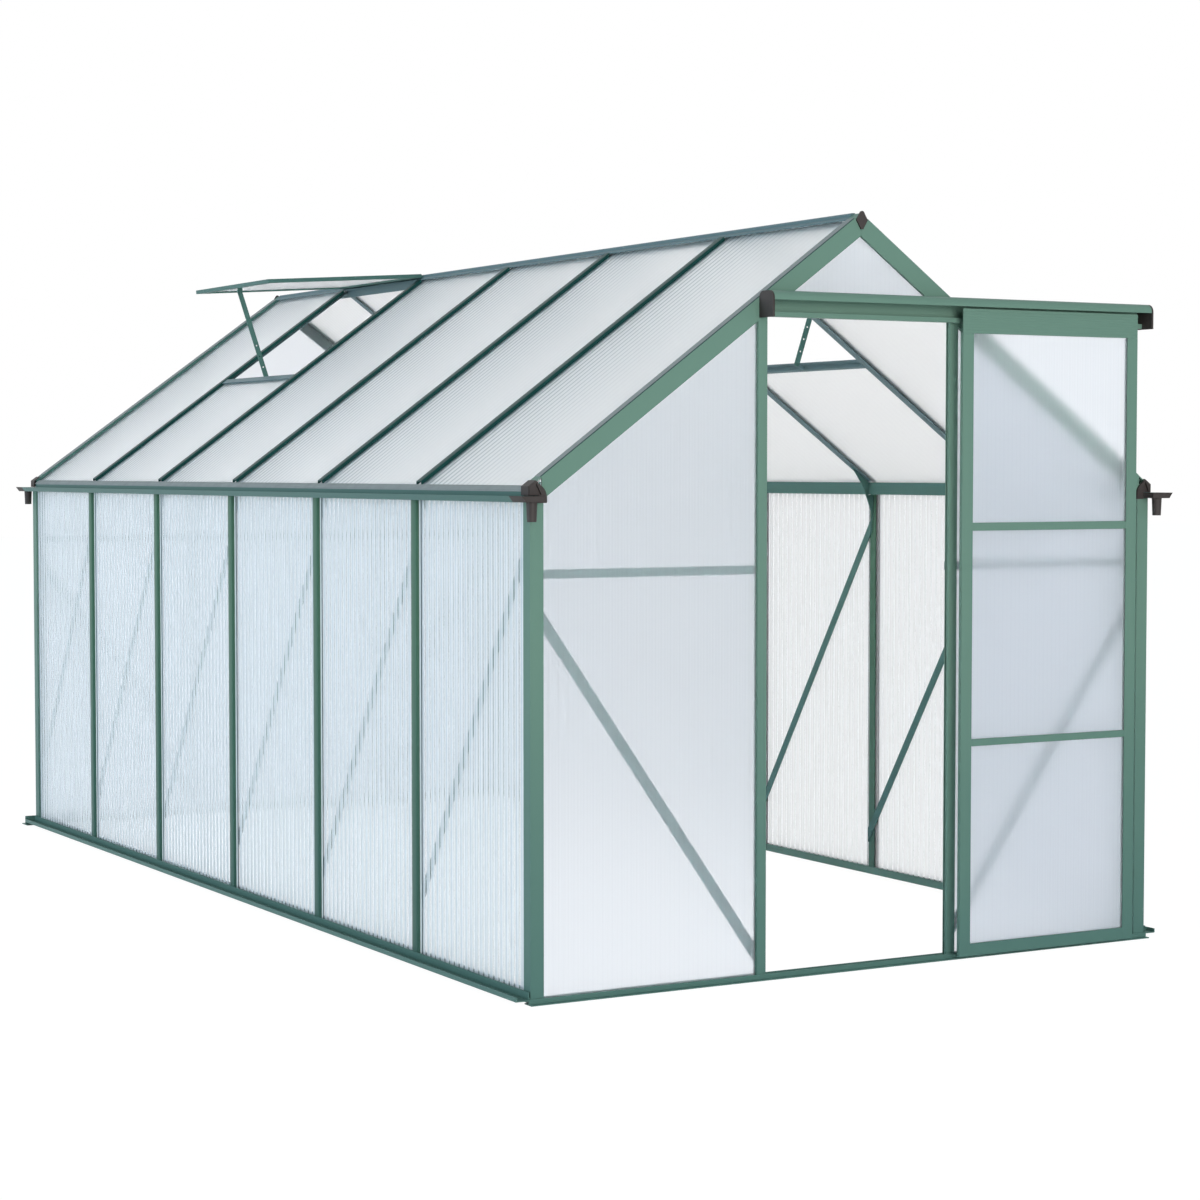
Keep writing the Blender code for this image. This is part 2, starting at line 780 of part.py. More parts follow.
def gable_middle_pane(end, foot):
    """The pane between the jambs or studs, pointed to the ridge."""
    half = JAMB_OFFSET - BAR_WEB / 2 - GAP
    if end:
        half = JAMB_OFFSET - BAR_WEB / 2 + BITE
    top = PANE_RECESS + WALL + GAP
    outline = [
        (-JAMB_OFFSET + BAR_WEB / 2 + GAP, foot),
        (half, foot),
        (half, roof_z(half, top)),
        (0.0, roof_z(0.0, top)),
        (-JAMB_OFFSET + BAR_WEB / 2 + GAP, roof_z(half, top)),
    ]
    return swept(outline, gable_place(end), PANE_RECESS, PANE_RECESS + PANE)


def gable_tie(side, end, start, stop):
    """A level tie rail on the inside of a gable."""
    outline = [
        (side * start, TIE_BOTTOM),
        (side * stop, TIE_BOTTOM),
        (side * stop, TIE_BOTTOM + TIE_HEIGHT),
        (side * start, TIE_BOTTOM + TIE_HEIGHT),
    ]
    return swept(outline, gable_place(end), GABLE_FACE, GABLE_FACE + BRACE_THICKNESS)


def gable_brace(side, end):
    """The strip brace of a gable's side bay, high at the post, low at the jamb."""
    outline = strip_outline(
        (side * (HALF_WIDTH - POST_WIDTH - GAP), GABLE_BRACE_TOP),
        (side * (JAMB_OFFSET - JAMB_WIDTH / 4), GABLE_BRACE_FOOT),
        GABLE_BRACE_WIDTH,
    )
    return swept(outline, gable_place(end), GABLE_FACE, GABLE_FACE + BRACE_THICKNESS)


def gable_bolt(x, z, end):
    """A bolt through a tie or brace into a jamb or stud."""
    start = (x, gable_y(end, BAR_DEPTH - WALL), z)
    stop = (x, gable_y(end, GABLE_FACE + BRACE_THICKNESS + BOLT_HEAD), z)
    return rod(start, stop, BOLT_RADIUS)


def gable_frame(side, end):
    """A door jamb or rear stud with the pane, tie and brace of its side bay."""
    x = side * JAMB_OFFSET
    tie_start = HALF_WIDTH - POST_WIDTH - GAP
    tie_stop = JAMB_OFFSET - JAMB_WIDTH / 2 + BITE
    if end and side == RIGHT:
        tie_stop = -(JAMB_OFFSET - JAMB_WIDTH / 2 - GAP)
    pieces = [
        gable_member(x, end),
        gable_side_pane(side, end),
        gable_tie(side, end, tie_start, tie_stop),
        gable_brace(side, end),
        gable_bolt(x, TIE_BOTTOM + TIE_HEIGHT / 2, end),
        gable_bolt(x, GABLE_BRACE_FOOT + BOLT_RADIUS, end),
    ]
    if end and side == RIGHT:
        pieces.append(gable_middle_pane(end, FRAME_FOOT))
    return fused(*pieces)


def gutter(side):
    """A gutter with its eave beam on the wall bars, and the lip that holds the roof panes' feet."""
    rim = -GUTTER_REACH
    outline = [
        (rim + GUTTER_SLANT, GUTTER_FLOOR),
        (EAVE_BACK, GUTTER_FLOOR),
        (EAVE_BACK, EAVE_BEAM_TOP),
        (EAVE_BACK - WALL, EAVE_BEAM_TOP),
        (EAVE_BACK - WALL, GUTTER_FLOOR + WALL),
        (rim + GUTTER_SLANT + WALL / 2, GUTTER_FLOOR + WALL),
        (rim + WALL, GUTTER_LIP),
        (rim, GUTTER_LIP),
    ]
    under = PANE_RECESS - GAP
    lip = [(0.0, GUTTER_FLOOR + BITE), (WALL, GUTTER_FLOOR + BITE)]
    lip += [(reach, eave_z(reach, under)) for reach in (WALL, EAVE_LIP)]
    lip += [(reach, eave_z(reach, under - WALL)) for reach in (EAVE_LIP, 0.0)]
    place = lambda a, b, y: Vector((inward(side, a), y, b))
    end = CAP_BACK + GAP
    lip_end = RAFTER_WIDTH + GAP
    return fused(swept(outline, place, end, LENGTH - end), swept(lip, place, lip_end, LENGTH - lip_end))


def gutter_cap(side, end):
    """The moulded corner piece of a gutter: trough end, tapered spout and gable plate."""
    lip = -GUTTER_REACH
    rise = GUTTER_LIP
    trough = [
        (lip + GUTTER_SLANT, GUTTER_FLOOR),
        (CAP_INNER, GUTTER_FLOOR),
        (CAP_INNER, rise),
        (CAP_INNER - WALL, rise),
        (CAP_INNER - WALL, GUTTER_FLOOR + WALL),
        (lip + GUTTER_SLANT + WALL / 2, GUTTER_FLOOR + WALL),
        (lip + WALL, rise),
        (lip, rise),
    ]
    inset = BITE / 2
    wall = [
        (lip + GUTTER_SLANT + inset, GUTTER_FLOOR + inset),
        (CAP_INNER - inset, GUTTER_FLOOR + inset),
        (CAP_INNER - inset, rise - inset),
        (lip + inset, rise - inset),
    ]
    place = lambda a, b, depth: Vector((inward(side, a), gable_y(end, depth), b))
    peak = CAP_PLATE_WIDTH / 3
    shoulder = rise - WALL
    edge = -BAR_PROUD - BITE
    plate = [(CAP_INNER - BITE, GUTTER_FLOOR - 2 * BITE), (CAP_PLATE_WIDTH, GUTTER_FLOOR - 2 * BITE)]
    plate += arc((CAP_PLATE_WIDTH - CAP_PLATE_ROUND, shoulder), CAP_PLATE_ROUND, 0, 48, 5)
    plate += [
        (peak, CAP_PLATE_TOP),
        (edge, CAP_PLATE_TOP - SLOPE * (peak - edge)),
        (edge, rise + BITE),
        (CAP_INNER - BITE, rise + BITE),
    ]
    skirt = -BAR_PROUD
    hood = [
        (skirt - WALL, rise + inset),
        (skirt, rise + inset),
        (skirt, eave_z(skirt, -GAP)),
        (peak, eave_z(peak, -GAP)),
        (peak, eave_z(peak, -GAP - WALL)),
        (skirt - WALL, eave_z(skirt - WALL, -GAP - WALL)),
    ]
    pocket = [
        (CAP_POCKET_START, rise + WALL),
        (CAP_POCKET_END, rise + WALL),
        (peak, CAP_PLATE_TOP - CAP_POCKET_RIM),
    ]
    center = (inward(side, -SPOUT_OFFSET), gable_y(end, -SPOUT_FORWARD), 0.0)
    up = (0.0, 0.0, 1.0)
    taper = [(SPOUT_FOOT, SPOUT_FOOT_RADIUS), (GUTTER_FLOOR + BITE, SPOUT_TOP_RADIUS)]
    spout = turned(taper, center, up)
    bore_taper = [
        (SPOUT_FOOT - BITE, SPOUT_FOOT_RADIUS - SPOUT_WALL),
        (GUTTER_FLOOR + 2 * WALL, SPOUT_TOP_RADIUS - SPOUT_WALL),
    ]
    bore = turned(bore_taper, center, up)
    body = fused(
        swept(trough, place, -CAP_FRONT, CAP_BACK),
        swept(wall, place, -CAP_FRONT + inset, -CAP_FRONT + WALL),
        swept(plate, place, -CAP_PLATE - GAP, -GAP),
        swept(hood, place, -CAP_PLATE / 2, RAFTER_WIDTH),
        spout,
    )
    recess = swept(pocket, place, -CAP_PLATE - GAP - BITE, -CAP_PLATE - GAP + CAP_POCKET_DEPTH)
    return drilled(drilled(body, bore), recess)


def ridge():
    """The ridge: sloping flanges over the roof bars' ends, a spine that the vents hook on, and a web."""
    half = RIDGE_HALF_WIDTH
    spine = RIDGE_SPINE_HALF
    top = RIDGE_HEIGHT + RIDGE_SPINE_RISE
    right = [
        (spine / 2, top),
        (spine, top - SLOPE * spine / 2),
        (spine, roof_z(spine)),
        (half, roof_z(half)),
        (half, roof_z(half, WALL)),
        (BAR_WEB / 2, roof_z(BAR_WEB / 2, WALL)),
        (BAR_WEB / 2, RIDGE_HEIGHT - RIDGE_WEB_DROP),
    ]
    outline = right + [(-x, z) for x, z in reversed(right)]
    end = RAFTER_WIDTH + GAP
    return swept(outline, lambda x, z, y: Vector((x, y, z)), end, LENGTH - end)


def ridge_cap(end):
    """The kite-shaped cover over the rafters' joint at the ridge."""
    half = RIDGE_CAP_HALF
    foot = RIDGE_HEIGHT - RIDGE_CAP_DROP
    shoulder = RIDGE_HEIGHT - RIDGE_CAP_SHOULDER_DROP
    middle = (0.0, RIDGE_HEIGHT + RIDGE_CAP_RISE - RIDGE_CAP_ROUND)
    crown = arc(middle, RIDGE_CAP_ROUND, 25, 155, 6)
    outline = [(RIDGE_CAP_TOE, foot), (half, shoulder)] + crown
    outline += [(-half, shoulder), (-RIDGE_CAP_TOE, foot)]
    return swept(outline, gable_place(end), -GAP - RIDGE_CAP_THICKNESS, -GAP)


def track_outline():
    """The door track's section: wheel rail, back web and rounded hood, as (forward, height)."""
    back = GAP
    front = TRACK_REACH
    front_round = (front - HOOD_FRONT_RADIUS, TRACK_TOP - HOOD_FRONT_RADIUS)
    back_round = (back + HOOD_BACK_RADIUS, TRACK_TOP - HOOD_BACK_RADIUS)
    outline = [(RAIL_FORWARD, TRACK_BOTTOM), (back, TRACK_BOTTOM)]
    outline += arc(back_round, HOOD_BACK_RADIUS, 180, 90, 6)
    outline += arc(front_round, HOOD_FRONT_RADIUS, 90, 0, 8)
    outline += [(front, front_round[1] - HOOD_LIP), (front - TRACK_WALL, front_round[1] - HOOD_LIP)]
    outline += arc(front_round, HOOD_FRONT_RADIUS - TRACK_WALL, 0, 90, 8)
    outline += arc(back_round, HOOD_BACK_RADIUS - TRACK_WALL, 90, 180, 6)
    outline += [
        (back + TRACK_WALL, TRACK_BOTTOM + TRACK_WALL),
        (RAIL_FORWARD - WALL, TRACK_BOTTOM + TRACK_WALL),
        (RAIL_FORWARD - WALL, RAIL_TOP),
        (RAIL_FORWARD, RAIL_TOP),
    ]
    return outline


def door_track():
    """The hooded track on the gable's face, with the ledge and pane over the doorway."""
    place = lambda forward, z, x: Vector((x, -forward, z))
    track = swept(track_outline(), place, TRACK_START, TRACK_END)
    half = JAMB_OFFSET - JAMB_WIDTH / 2 - GAP
    sill = TRACK_BOTTOM + WALL
    ledge = box(
        (-half, -GAP - TRACK_WALL / 2, sill),
        (half, PANE_RECESS + PANE, sill + WALL),
    )
    pane = gable_middle_pane(0, sill + WALL / 2)
    return fused(track, ledge, pane)


def track_cap(start, end):
    """A moulded cap over an end of the door track, with the hood's outer shape."""
    front_round = (TRACK_REACH - HOOD_FRONT_RADIUS, TRACK_TOP - HOOD_FRONT_RADIUS)
    back_round = (GAP + HOOD_BACK_RADIUS, TRACK_TOP - HOOD_BACK_RADIUS)
    outline = [(TRACK_REACH, TRACK_BOTTOM - WALL), (GAP, TRACK_BOTTOM - WALL)]
    outline += arc(back_round, HOOD_BACK_RADIUS, 180, 90, 6)
    outline += arc(front_round, HOOD_FRONT_RADIUS, 90, 0, 8)
    return swept(outline, lambda forward, z, x: Vector((x, -forward, z)), start, end)


def hanger_outline():
    """The door's hanger rail: a finely grooved face with a foot flange, as (forward, height)."""
    front = DOOR_FRONT
    pitch = (HANGER_TOP - HANGER_BOTTOM) / (HANGER_GROOVES + 1)
    half = HANGER_GROOVE_WIDTH / 2
    outline = [(DOOR_BACK, HANGER_BOTTOM), (front, HANGER_BOTTOM)]
    for i in range(1, HANGER_GROOVES + 1):
        z = HANGER_BOTTOM + pitch * i
        outline += [(front, z - half), (front - HANGER_GROOVE_DEPTH, z), (front, z + half)]
    outline += [
        (front, HANGER_TOP),
        (front - WALL, HANGER_TOP),
        (front - WALL, HANGER_BOTTOM + WALL),
        (DOOR_BACK, HANGER_BOTTOM + WALL),
    ]
    return outline


def wheel_x(side):
    """The x of a door wheel."""
    return DOOR_LEFT + WHEEL_INSET if side == LEFT else DOOR_RIGHT - WHEEL_INSET


def axle(side):
    """A shouldered and headed axle that stands on the back of the hanger rail."""
    wheel_front = -WHEEL_FORWARD - WHEEL_HALF_WIDTH - GAP
    wheel_back = -WHEEL_FORWARD + WHEEL_HALF_WIDTH + GAP
    start = -DOOR_FRONT + WALL / 2
    profile = [
        (start, AXLE_SHOULDER),
        (wheel_front, AXLE_SHOULDER),
        (wheel_front, AXLE_RADIUS),
        (wheel_back, AXLE_RADIUS),
        (wheel_back, AXLE_SHOULDER),
        (wheel_back + AXLE_HEAD, AXLE_SHOULDER),
    ]
    return turned(profile, (wheel_x(side), 0.0, WHEEL_HEIGHT), (0.0, 1.0, 0.0))


def hanger_rail():
    """The hanger rail with its two wheel axles."""
    place = lambda forward, z, x: Vector((x, -forward, z))
    rail = swept(hanger_outline(), place, DOOR_LEFT, DOOR_RIGHT)
    return fused(rail, axle(LEFT), axle(RIGHT))


def door_wheel(side):
    """A grooved wheel, bored for its axle."""
    half = WHEEL_HALF_WIDTH
    rim = half - BITE
    root = WALL / 2 + 2 * GAP
    bore = AXLE_RADIUS + GAP
    profile = [
        (-half, WHEEL_RADIUS),
        (-rim, WHEEL_RADIUS),
        (-root, WHEEL_GROOVE_RADIUS),
        (root, WHEEL_GROOVE_RADIUS),
        (rim, WHEEL_RADIUS),
        (half, WHEEL_RADIUS),
    ]
    center = (wheel_x(side), -WHEEL_FORWARD, WHEEL_HEIGHT)
    wheel = turned(profile, center, (0.0, 1.0, 0.0), 32)
    start = (center[0], center[1] - half - BITE, center[2])
    stop = (center[0], center[1] + half + BITE, center[2])
    return drilled(wheel, rod(start, stop, bore))


def door_stile(side):
    """A channel stile, open towards the panes."""
    outer = DOOR_LEFT if side == LEFT else DOOR_RIGHT
    outline = [
        (0.0, DOOR_BACK),
        (STILE_WIDTH, DOOR_BACK),
        (STILE_WIDTH, DOOR_BACK + DOOR_SKIN),
        (DOOR_SKIN, DOOR_BACK + DOOR_SKIN),
        (DOOR_SKIN, DOOR_FRONT - DOOR_SKIN),
        (STILE_WIDTH, DOOR_FRONT - DOOR_SKIN),
        (STILE_WIDTH, DOOR_FRONT),
        (0.0, DOOR_FRONT),
    ]
    place = lambda a, forward, z: Vector((outer - side * a, -forward, z))
    return swept(outline, place, DOOR_BOTTOM, HANGER_BOTTOM - GAP)


def door_rail(bottom, height, pane_top):
    """A rail between the stiles, an H section that carries the pane above it."""
    middle = bottom + height / 2
    web = DOOR_SKIN / 2
    outline = [
        (DOOR_BACK, bottom),
        (DOOR_BACK + DOOR_SKIN, bottom),
        (DOOR_BACK + DOOR_SKIN, middle - web),
        (DOOR_FRONT - DOOR_SKIN, middle - web),
        (DOOR_FRONT - DOOR_SKIN, bottom),
        (DOOR_FRONT, bottom),
        (DOOR_FRONT, bottom + height),
        (DOOR_FRONT - DOOR_SKIN, bottom + height),
        (DOOR_FRONT - DOOR_SKIN, middle + web),
        (DOOR_BACK + DOOR_SKIN, middle + web),
        (DOOR_BACK + DOOR_SKIN, bottom + height),
        (DOOR_BACK, bottom + height),
    ]
    start = DOOR_LEFT + STILE_WIDTH + GAP
    stop = DOOR_RIGHT - STILE_WIDTH - GAP
    rail = swept(outline, lambda forward, z, x: Vector((x, -forward, z)), start, stop)
    edge = DOOR_SKIN + 2 * GAP
    pane = box(
        (DOOR_LEFT + edge, -DOOR_PANE - PANE, middle),
        (DOOR_RIGHT - edge, -DOOR_PANE, pane_top),
    )
    return fused(rail, pane)


def leaf_point(side, along, above, y, droop):
    """A point on a vent leaf, by its way down from the hinge and its height over the hinge line."""
    reach = HINGE_X - along * math.cos(droop) - above * math.sin(droop)
    height = HINGE_Z - along * math.sin(droop) + above * math.cos(droop)
    return Vector((inward(side, reach), y, height))


def vent_leaf(side):
    """A vent leaf: hooked top rail, side and foot rails, its pane and the stay's lug."""
    middle = bar_y(vent_bay(side)) - BAY / 2
    half = BAY / 2 + LEAF_OVERLAP
    droop = LEAF_DROOP
    low = -LEAF_UNDER
    inset = BITE / 2
    foot = LEAF_LENGTH - LEAF_RAIL
    outline = [
        (inset, low + inset),
        (LEAF_RAIL, low + inset),
        (LEAF_RAIL, 0.0),
        (foot, 0.0),
        (foot, low + inset),
        (LEAF_LENGTH - inset, low + inset),
        (LEAF_LENGTH - inset, LEAF_OVER - inset),
        (foot, LEAF_OVER - inset),
        (foot, PANE),
        (LEAF_RAIL, PANE),
        (LEAF_RAIL, LEAF_OVER - inset),
        (inset, LEAF_OVER - inset),
    ]
    rail = [(0.0, low), (LEAF_LENGTH, low), (LEAF_LENGTH, LEAF_OVER), (0.0, LEAF_OVER)]
    place = lambda s, m, y: leaf_point(side, s, m, y, droop)
    front = middle - half
    rear = middle + half
    pivot = STAY_PIVOT_ALONG
    below = STAY_PIVOT_BELOW
    lug = [
        (pivot - LUG_REACH, BITE),
        (pivot + LUG_REACH, BITE),
        (pivot + LUG_REACH, -below),
        (pivot, -below - LUG_REACH),
        (pivot - LUG_REACH, -below),
    ]
    lug_face = middle - STAY_THICKNESS / 2 - GAP
    bead_start = leaf_point(side, 0.0, 0.0, front + inset, droop)
    bead_end = leaf_point(side, 0.0, 0.0, rear - inset, droop)
    return fused(
        swept(outline, place, front + BITE, rear - BITE),
        swept(rail, place, front, front + LEAF_RAIL),
        swept(rail, place, rear - LEAF_RAIL, rear),
        rod(bead_start, bead_end, BEAD_RADIUS),
        swept(lug, place, lug_face - WALL, lug_face),
    )


def stay_pivot(side):
    """The stay's pivot on the open leaf."""
    y = bar_y(vent_bay(side)) - BAY / 2
    return leaf_point(side, STAY_PIVOT_ALONG, -STAY_PIVOT_BELOW, y, LEAF_DROOP)


def vent_stay(side):
    """The flat stay that props a vent leaf, drilled with a row of peg holes."""
    pivot = stay_pivot(side)
    peg = roof_point(side, VENT_SILL_START + STAY_PEG_PAST_SILL, STAY_PEG_DEPTH, pivot.y)
    reach = peg - pivot
    along = reach.normalized()
    across = along.cross(Vector((0.0, 1.0, 0.0)))
    half = STAY_WIDTH / 2
    outline = arc((0.0, 0.0), half, 90, 270, 6) + arc((reach.length, 0.0), half, -90, 90, 6)
    bar = swept(outline, lambda a, b, y: Vector((a, y, b)), -STAY_THICKNESS / 2, STAY_THICKNESS / 2)
    holes = []
    for i in range(STAY_HOLES):
        step = reach.length * (1.0 - i / (2 * STAY_HOLES))
        holes.append(rod((step, -STAY_THICKNESS, 0.0), (step, STAY_THICKNESS, 0.0), STAY_HOLE_RADIUS, 10))
    mesh = drilled(bar, *holes)
    for vertex in mesh.vertices:
        a, y, b = vertex.co
        vertex.co = pivot + along * a + across * b + Vector((0.0, y, 0.0))
    return mesh


def side_name(side):
    """The name of a side."""
    return "left" if side == LEFT else "right"


def build_walls(root, green, dark):
    """Sills, posts, wall bars, gutters and gutter caps."""
    piece("sill_front", gable_sill(0), green, root, (0.0, 0.0, 0.0))
    piece("sill_rear", gable_sill(1), green, root, (0.0, LENGTH, 0.0))
    for side in (LEFT, RIGHT):
        name = side_name(side)
        wall = side * HALF_WIDTH
        piece(f"sill_{name}", side_sill(side), green, root, (wall, LENGTH / 2, 0.0))
        piece(f"gutter_{name}", gutter(side), green, root, (wall, LENGTH / 2, GUTTER_FLOOR))
        for end, where in ((0, "front"), (1, "rear")):
            y = gable_y(end, 0.0)
            piece(f"corner_post_{where}_{name}", corner_post(side, end), green, root, (wall, y, FRAME_FOOT))
            piece(f"gutter_cap_{where}_{name}", gutter_cap(side, end), dark, root, (wall, y, GUTTER_FLOOR))
        for number in range(1, SIDE_BAYS):
            base = (wall, bar_y(number), SIDE_FOOT)
            piece(f"wall_bar_{name}_{number}", wall_bar(side, number), green, root, base)


def build_gables(root, green, dark):
    """Rafters, jambs, studs, and the door track with its caps."""
    for side in (LEFT, RIGHT):
        name = side_name(side)
        for end, where in ((0, "front"), (1, "rear")):
            base = (side * HALF_WIDTH, gable_y(end, 0.0), EAVE_HEIGHT)
            piece(f"rafter_{where}_{name}", rafter(side, end), green, root, base)
            member = "rear_stud" if end else "door_jamb"
            foot = (side * JAMB_OFFSET, gable_y(end, 0.0), FRAME_FOOT)
            piece(f"{member}_{name}", gable_frame(side, end), green, root, foot)
    piece("door_track", door_track(), green, root, (TRACK_START, 0.0, TRACK_BOTTOM))
    start = TRACK_START - GAP
    stop = TRACK_END + GAP
    piece("track_cap_left", track_cap(start - TRACK_CAP, start), dark, root, (start, 0.0, TRACK_BOTTOM))
    piece("track_cap_right", track_cap(stop, stop + TRACK_CAP), dark, root, (stop, 0.0, TRACK_BOTTOM))


def build_roof(root, green, dark):
    """Roof bars, ridge and ridge caps."""
    for side in (LEFT, RIGHT):
        for number in range(1, SIDE_BAYS):
            base = (side * HALF_WIDTH, bar_y(number), EAVE_HEIGHT)
            piece(f"roof_bar_{side_name(side)}_{number}", roof_bar(side, number), green, root, base)
    piece("ridge", ridge(), green, root, (0.0, LENGTH / 2, RIDGE_HEIGHT))
    for end, where in ((0, "front"), (1, "rear")):
        piece(f"ridge_cap_{where}", ridge_cap(end), dark, root, (0.0, gable_y(end, 0.0), RIDGE_HEIGHT))


def build_door(root, green, dark):
    """The sliding door, hung open to the right, on its own empty."""
    door = empty("door", (DOOR_MIDDLE, -DOOR_FRONT, 0.0), root)
    piece("door_hanger_rail", hanger_rail(), green, door, (DOOR_MIDDLE, -DOOR_FRONT, HANGER_BOTTOM))
    lower_web = LOWER_RAIL_BOTTOM + LOWER_RAIL_HEIGHT / 2 - DOOR_SKIN / 2 - GAP
    upper_web = UPPER_RAIL_BOTTOM + UPPER_RAIL_HEIGHT / 2 - DOOR_SKIN / 2 - GAP
    rails = (
        ("door_rail_bottom", DOOR_BOTTOM, BOTTOM_RAIL_HEIGHT, lower_web),
        ("door_rail_lower", LOWER_RAIL_BOTTOM, LOWER_RAIL_HEIGHT, upper_web),
        ("door_rail_upper", UPPER_RAIL_BOTTOM, UPPER_RAIL_HEIGHT, HANGER_BOTTOM - GAP),
    )
    for name, bottom, height, pane_top in rails:
        piece(name, door_rail(bottom, height, pane_top), green, door, (DOOR_MIDDLE, -DOOR_FRONT, bottom))
    for side in (LEFT, RIGHT):
        name = side_name(side)
        x = DOOR_LEFT if side == LEFT else DOOR_RIGHT
        piece(f"door_stile_{name}", door_stile(side), green, door, (x, -DOOR_FRONT, DOOR_BOTTOM))
        hub = (wheel_x(side), -WHEEL_FORWARD, WHEEL_HEIGHT)
        piece(f"door_wheel_{name}", door_wheel(side), dark, door, hub)


def build_vents(root, green):
    """Vent leaves and stays, each leaf on an empty on its hinge line."""
    for side in (LEFT, RIGHT):
        name = side_name(side)
        middle = bar_y(vent_bay(side)) - BAY / 2
        hinge = Vector((inward(side, HINGE_X), middle, HINGE_Z))
        pivot = empty(f"vent_{name}", hinge, root)
        piece(f"vent_leaf_{name}", vent_leaf(side), green, pivot, hinge)
        piece(f"vent_stay_{name}", vent_stay(side), green, pivot, stay_pivot(side))


def main():
    """Build the greenhouse."""
    for old in list(bpy.data.objects):
        bpy.data.objects.remove(old)
    green = material("green_coated_aluminium", (0.15, 0.27, 0.22), 0.3, 0.42)
    dark = material("dark_moulded_plastic", (0.05, 0.042, 0.04), 0.0, 0.55)
    root = empty("greenhouse", (0.0, -MIDDLE_Y, 0.0))
    build_walls(root, green, dark)
    build_gables(root, green, dark)
    build_roof(root, green, dark)
    build_door(root, green, dark)
    build_vents(root, green)


main()
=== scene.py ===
"""Walk-in garden greenhouse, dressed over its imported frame."""

import logging
import math
from collections.abc import Callable, Mapping, Sequence
from dataclasses import dataclass, field
from enum import Enum
from typing import ClassVar, NamedTuple

import bmesh
import bpy
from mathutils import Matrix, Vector

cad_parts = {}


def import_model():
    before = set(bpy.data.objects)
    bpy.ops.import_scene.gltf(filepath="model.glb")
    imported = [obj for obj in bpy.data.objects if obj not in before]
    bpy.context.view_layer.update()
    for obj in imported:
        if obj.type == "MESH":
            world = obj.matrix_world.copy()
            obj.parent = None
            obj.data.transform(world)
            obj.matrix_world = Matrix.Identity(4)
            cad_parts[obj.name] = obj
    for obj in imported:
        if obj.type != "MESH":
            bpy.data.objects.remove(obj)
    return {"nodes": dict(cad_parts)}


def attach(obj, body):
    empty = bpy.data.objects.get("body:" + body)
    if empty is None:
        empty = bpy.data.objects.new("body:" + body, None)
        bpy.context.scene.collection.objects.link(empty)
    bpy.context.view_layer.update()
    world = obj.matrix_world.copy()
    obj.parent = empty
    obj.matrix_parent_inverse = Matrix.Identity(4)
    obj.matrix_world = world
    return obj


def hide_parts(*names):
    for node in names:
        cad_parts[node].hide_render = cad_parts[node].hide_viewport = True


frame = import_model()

LOG = logging.getLogger("greenhouse")
SHARP_ANGLE = math.radians(32)

Point2 = tuple[float, float]
Triple = tuple[float, float, float]
Place = Callable[[float, float, float], Vector]
Line = Callable[[float], float]
Cut = Callable[[float, float], float]
Material = bpy.types.Material
Node = bpy.types.Node
Socket = bpy.types.NodeSocket
Tree = bpy.types.NodeTree


class Labelled(Enum):
    """An option that the frame's nodes are named after."""

    @property
    def label(self) -> str:
        """The option's name, as the frame's nodes spell it."""
        return self.name.lower()


class Side(Labelled):
    """A side of the building, seen from in front of the door."""

    LEFT = -1
    RIGHT = 1

    @property
    def vent_bay(self) -> int:
        """The bay under this slope's vent, counted from the door."""
        return 5 if self is Side.LEFT else 2


class End(Labelled):
    """A gable of the building."""

    FRONT = 0
    REAR = 1


